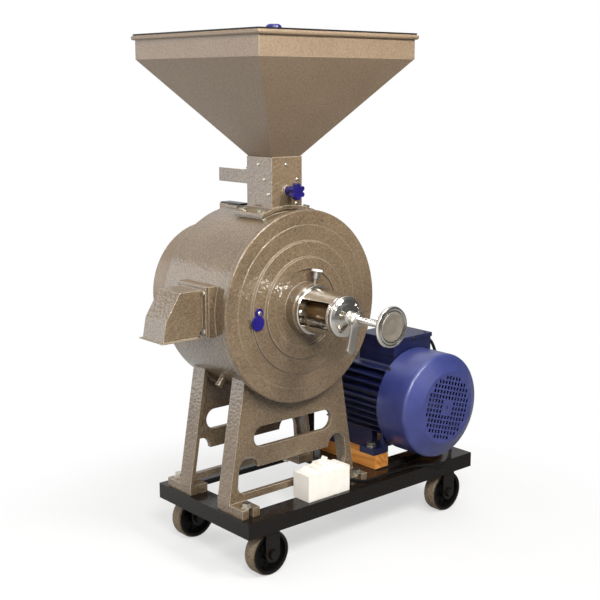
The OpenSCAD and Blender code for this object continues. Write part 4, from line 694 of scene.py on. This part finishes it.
def studio_floor():
    """Pale paper that turns to plain white away from the object."""
    made, tree, shader, where = start("pale studio floor", Roughness=0.9)
    grain = add(tree, "ShaderNodeTexNoise", Vector=where, Scale=1000 / PAPER_MM, Detail=2.0)
    rays = add(tree, "ShaderNodeLightPath")
    dull = add(tree, "ShaderNodeMix", COLOUR, i0=grain.outputs["Fac"], i6=linear("#8a8987"),
               i7=linear("#939290"))
    pale = add(tree, "ShaderNodeMix", COLOUR, i0=grain.outputs["Fac"], i6=linear("#e0dfdc"),
               i7=linear("#e8e7e4"))
    colour = add(tree, "ShaderNodeMix", COLOUR, i0=rays.outputs["Is Camera Ray"], i6=dull.outputs[2],
                 i7=pale.outputs[2])
    fill(tree, shader, Base_Color=colour.outputs[2])
    side = add(tree, "ShaderNodeVectorMath", {"operation": "DOT_PRODUCT"}, i0=where, i1=SWEEP_SIDE)
    sweep = add(tree, "ShaderNodeMapRange", Value=side.outputs["Value"], From_Min=-0.4, From_Max=0.6)
    mirror = add(tree, "ShaderNodeMath", {"operation": "MAXIMUM"}, i0=rays.outputs["Is Glossy Ray"],
                 i1=rays.outputs["Is Transmission Ray"])
    mirrored = add(tree, "ShaderNodeMath", {"operation": "MULTIPLY"}, i0=mirror.outputs["Value"],
                   i1=sweep.outputs["Result"])
    seen = add(tree, "ShaderNodeMath", {"operation": "MAXIMUM"}, i0=rays.outputs["Is Camera Ray"],
               i1=mirrored.outputs["Value"])
    reach = add(tree, "ShaderNodeVectorMath", {"operation": "LENGTH"}, i0=where)
    far = add(tree, "ShaderNodeMapRange", {"interpolation_type": "SMOOTHSTEP"},
              Value=reach.outputs["Value"], From_Min=WHITE_FROM, From_Max=WHITE_FULL, To_Min=0.55,
              To_Max=1.0)
    share = add(tree, "ShaderNodeMath", {"operation": "MULTIPLY"}, i0=far.outputs["Result"],
                i1=seen.outputs["Value"])
    white = add(tree, "ShaderNodeEmission", Color=(1, 1, 1, 1), Strength=1.0)
    both = add(tree, "ShaderNodeMixShader", i0=share.outputs["Value"], i1=shader.outputs["BSDF"],
               i2=white.outputs["Emission"])
    fill(tree, tree.nodes["Material Output"], Surface=both.outputs["Shader"])
    return made


paper = studio_floor()
print("paper white beyond", WHITE_FULL, "m")

# %% Floor
FLOOR_HALF = 9
sheet = bmesh.new()
bmesh.ops.create_grid(sheet, x_segments=1, y_segments=1, size=FLOOR_HALF)
floor_mesh = bpy.data.meshes.new("studio_floor")
sheet.to_mesh(floor_mesh)
sheet.free()
floor_mesh.materials.append(paper)
floor = add_object("studio_floor", floor_mesh)
print("floor", 2 * FLOOR_HALF, "m wide")

# %% [markdown]
# ## The room
#
# The camera sees a white background, and so does metal that faces the white sweep, on the left and behind.
# On the right and in front, where the photographer works, the room is dim. The chrome needs that dim
# side: a mirror in an all-white room looks like chalk.

# %% Room
world = bpy.data.worlds.new("studio")
bpy.context.scene.world = world
world.use_nodes = True
sky = world.node_tree
view = add(sky, "ShaderNodeTexCoord")
toward = add(sky, "ShaderNodeVectorMath", {"operation": "DOT_PRODUCT"}, i0=view.outputs["Generated"],
             i1=SWEEP_SIDE)
glow = add(sky, "ShaderNodeMapRange", {"interpolation_type": "SMOOTHSTEP"}, Value=toward.outputs["Value"],
           From_Min=-0.7, From_Max=0.8, To_Min=0.1, To_Max=0.75)
shine = add(sky, "ShaderNodeMapRange", {"interpolation_type": "SMOOTHSTEP"}, Value=toward.outputs["Value"],
            From_Min=-0.6, From_Max=0.6, To_Min=0.06, To_Max=1.0)
rays = add(sky, "ShaderNodeLightPath")
mirrored = add(sky, "ShaderNodeMath", {"operation": "MULTIPLY"}, i0=rays.outputs["Is Glossy Ray"],
               i1=shine.outputs["Result"])
seen = add(sky, "ShaderNodeMath", {"operation": "MAXIMUM"}, i0=rays.outputs["Is Camera Ray"],
           i1=rays.outputs["Is Transmission Ray"])
shown = add(sky, "ShaderNodeMath", {"operation": "MAXIMUM"}, i0=seen.outputs["Value"],
            i1=mirrored.outputs["Value"])
level = add(sky, "ShaderNodeMath", {"operation": "MAXIMUM"}, i0=shown.outputs["Value"],
            i1=glow.outputs["Result"])
fill(sky, sky.nodes["Background"], Color=(1, 1, 1, 1), Strength=level.outputs["Value"])
print("room ready")

# %% [markdown]
# ## Lamps
#
# Soft boxes light a product picture. The key lamp at the left front gives the broken highlight on the
# cover, a large cool one behind gives the sheen down the drum's side, and two weaker ones in front open
# the shadows; one of these has a grid, so that its light stays on the neck and the cover. A last one hangs
# above.

# %% Lamps
MIDDLE = Vector((0, 0, 0.55))
NECK = Vector((-0.09, 0, 0.95))


def soft_lamp(name, place, aim, size, power, cone=180, tint="#ffffff"):
    """A square soft box at a place, turned towards a point. A grid in front keeps its light in a cone."""
    data = bpy.data.lights.new(name, "AREA")
    data.size = size
    data.energy = power
    data.color = linear(tint)[:3]
    data.spread = math.radians(cone)
    stand = Vector(place)
    turned = (aim - stand).to_track_quat("-Z", "Y").to_matrix().to_4x4()
    lamp = add_object(name, data)
    lamp.matrix_world = Matrix.Translation(stand) @ turned


soft_lamp("key_left", (-1.22, -1.72, 1.85), MIDDLE, size=0.7, power=52)
soft_lamp("sheen_back_left", (-1.9, 2.2, 0.9), MIDDLE, size=1.6, power=16, tint="#f4f8ff")
soft_lamp("front_fill", (0.35, -1.7, 2.1), MIDDLE, size=0.6, power=13)
soft_lamp("front_grid", (0.1, -1.7, 1.9), NECK, size=0.5, power=4.2, cone=60)
soft_lamp("top_soft", (0.1, -0.3, 2.8), MIDDLE, size=1.6, power=15)
bpy.context.scene.view_settings.view_transform = "Standard"
print("lamps ready")
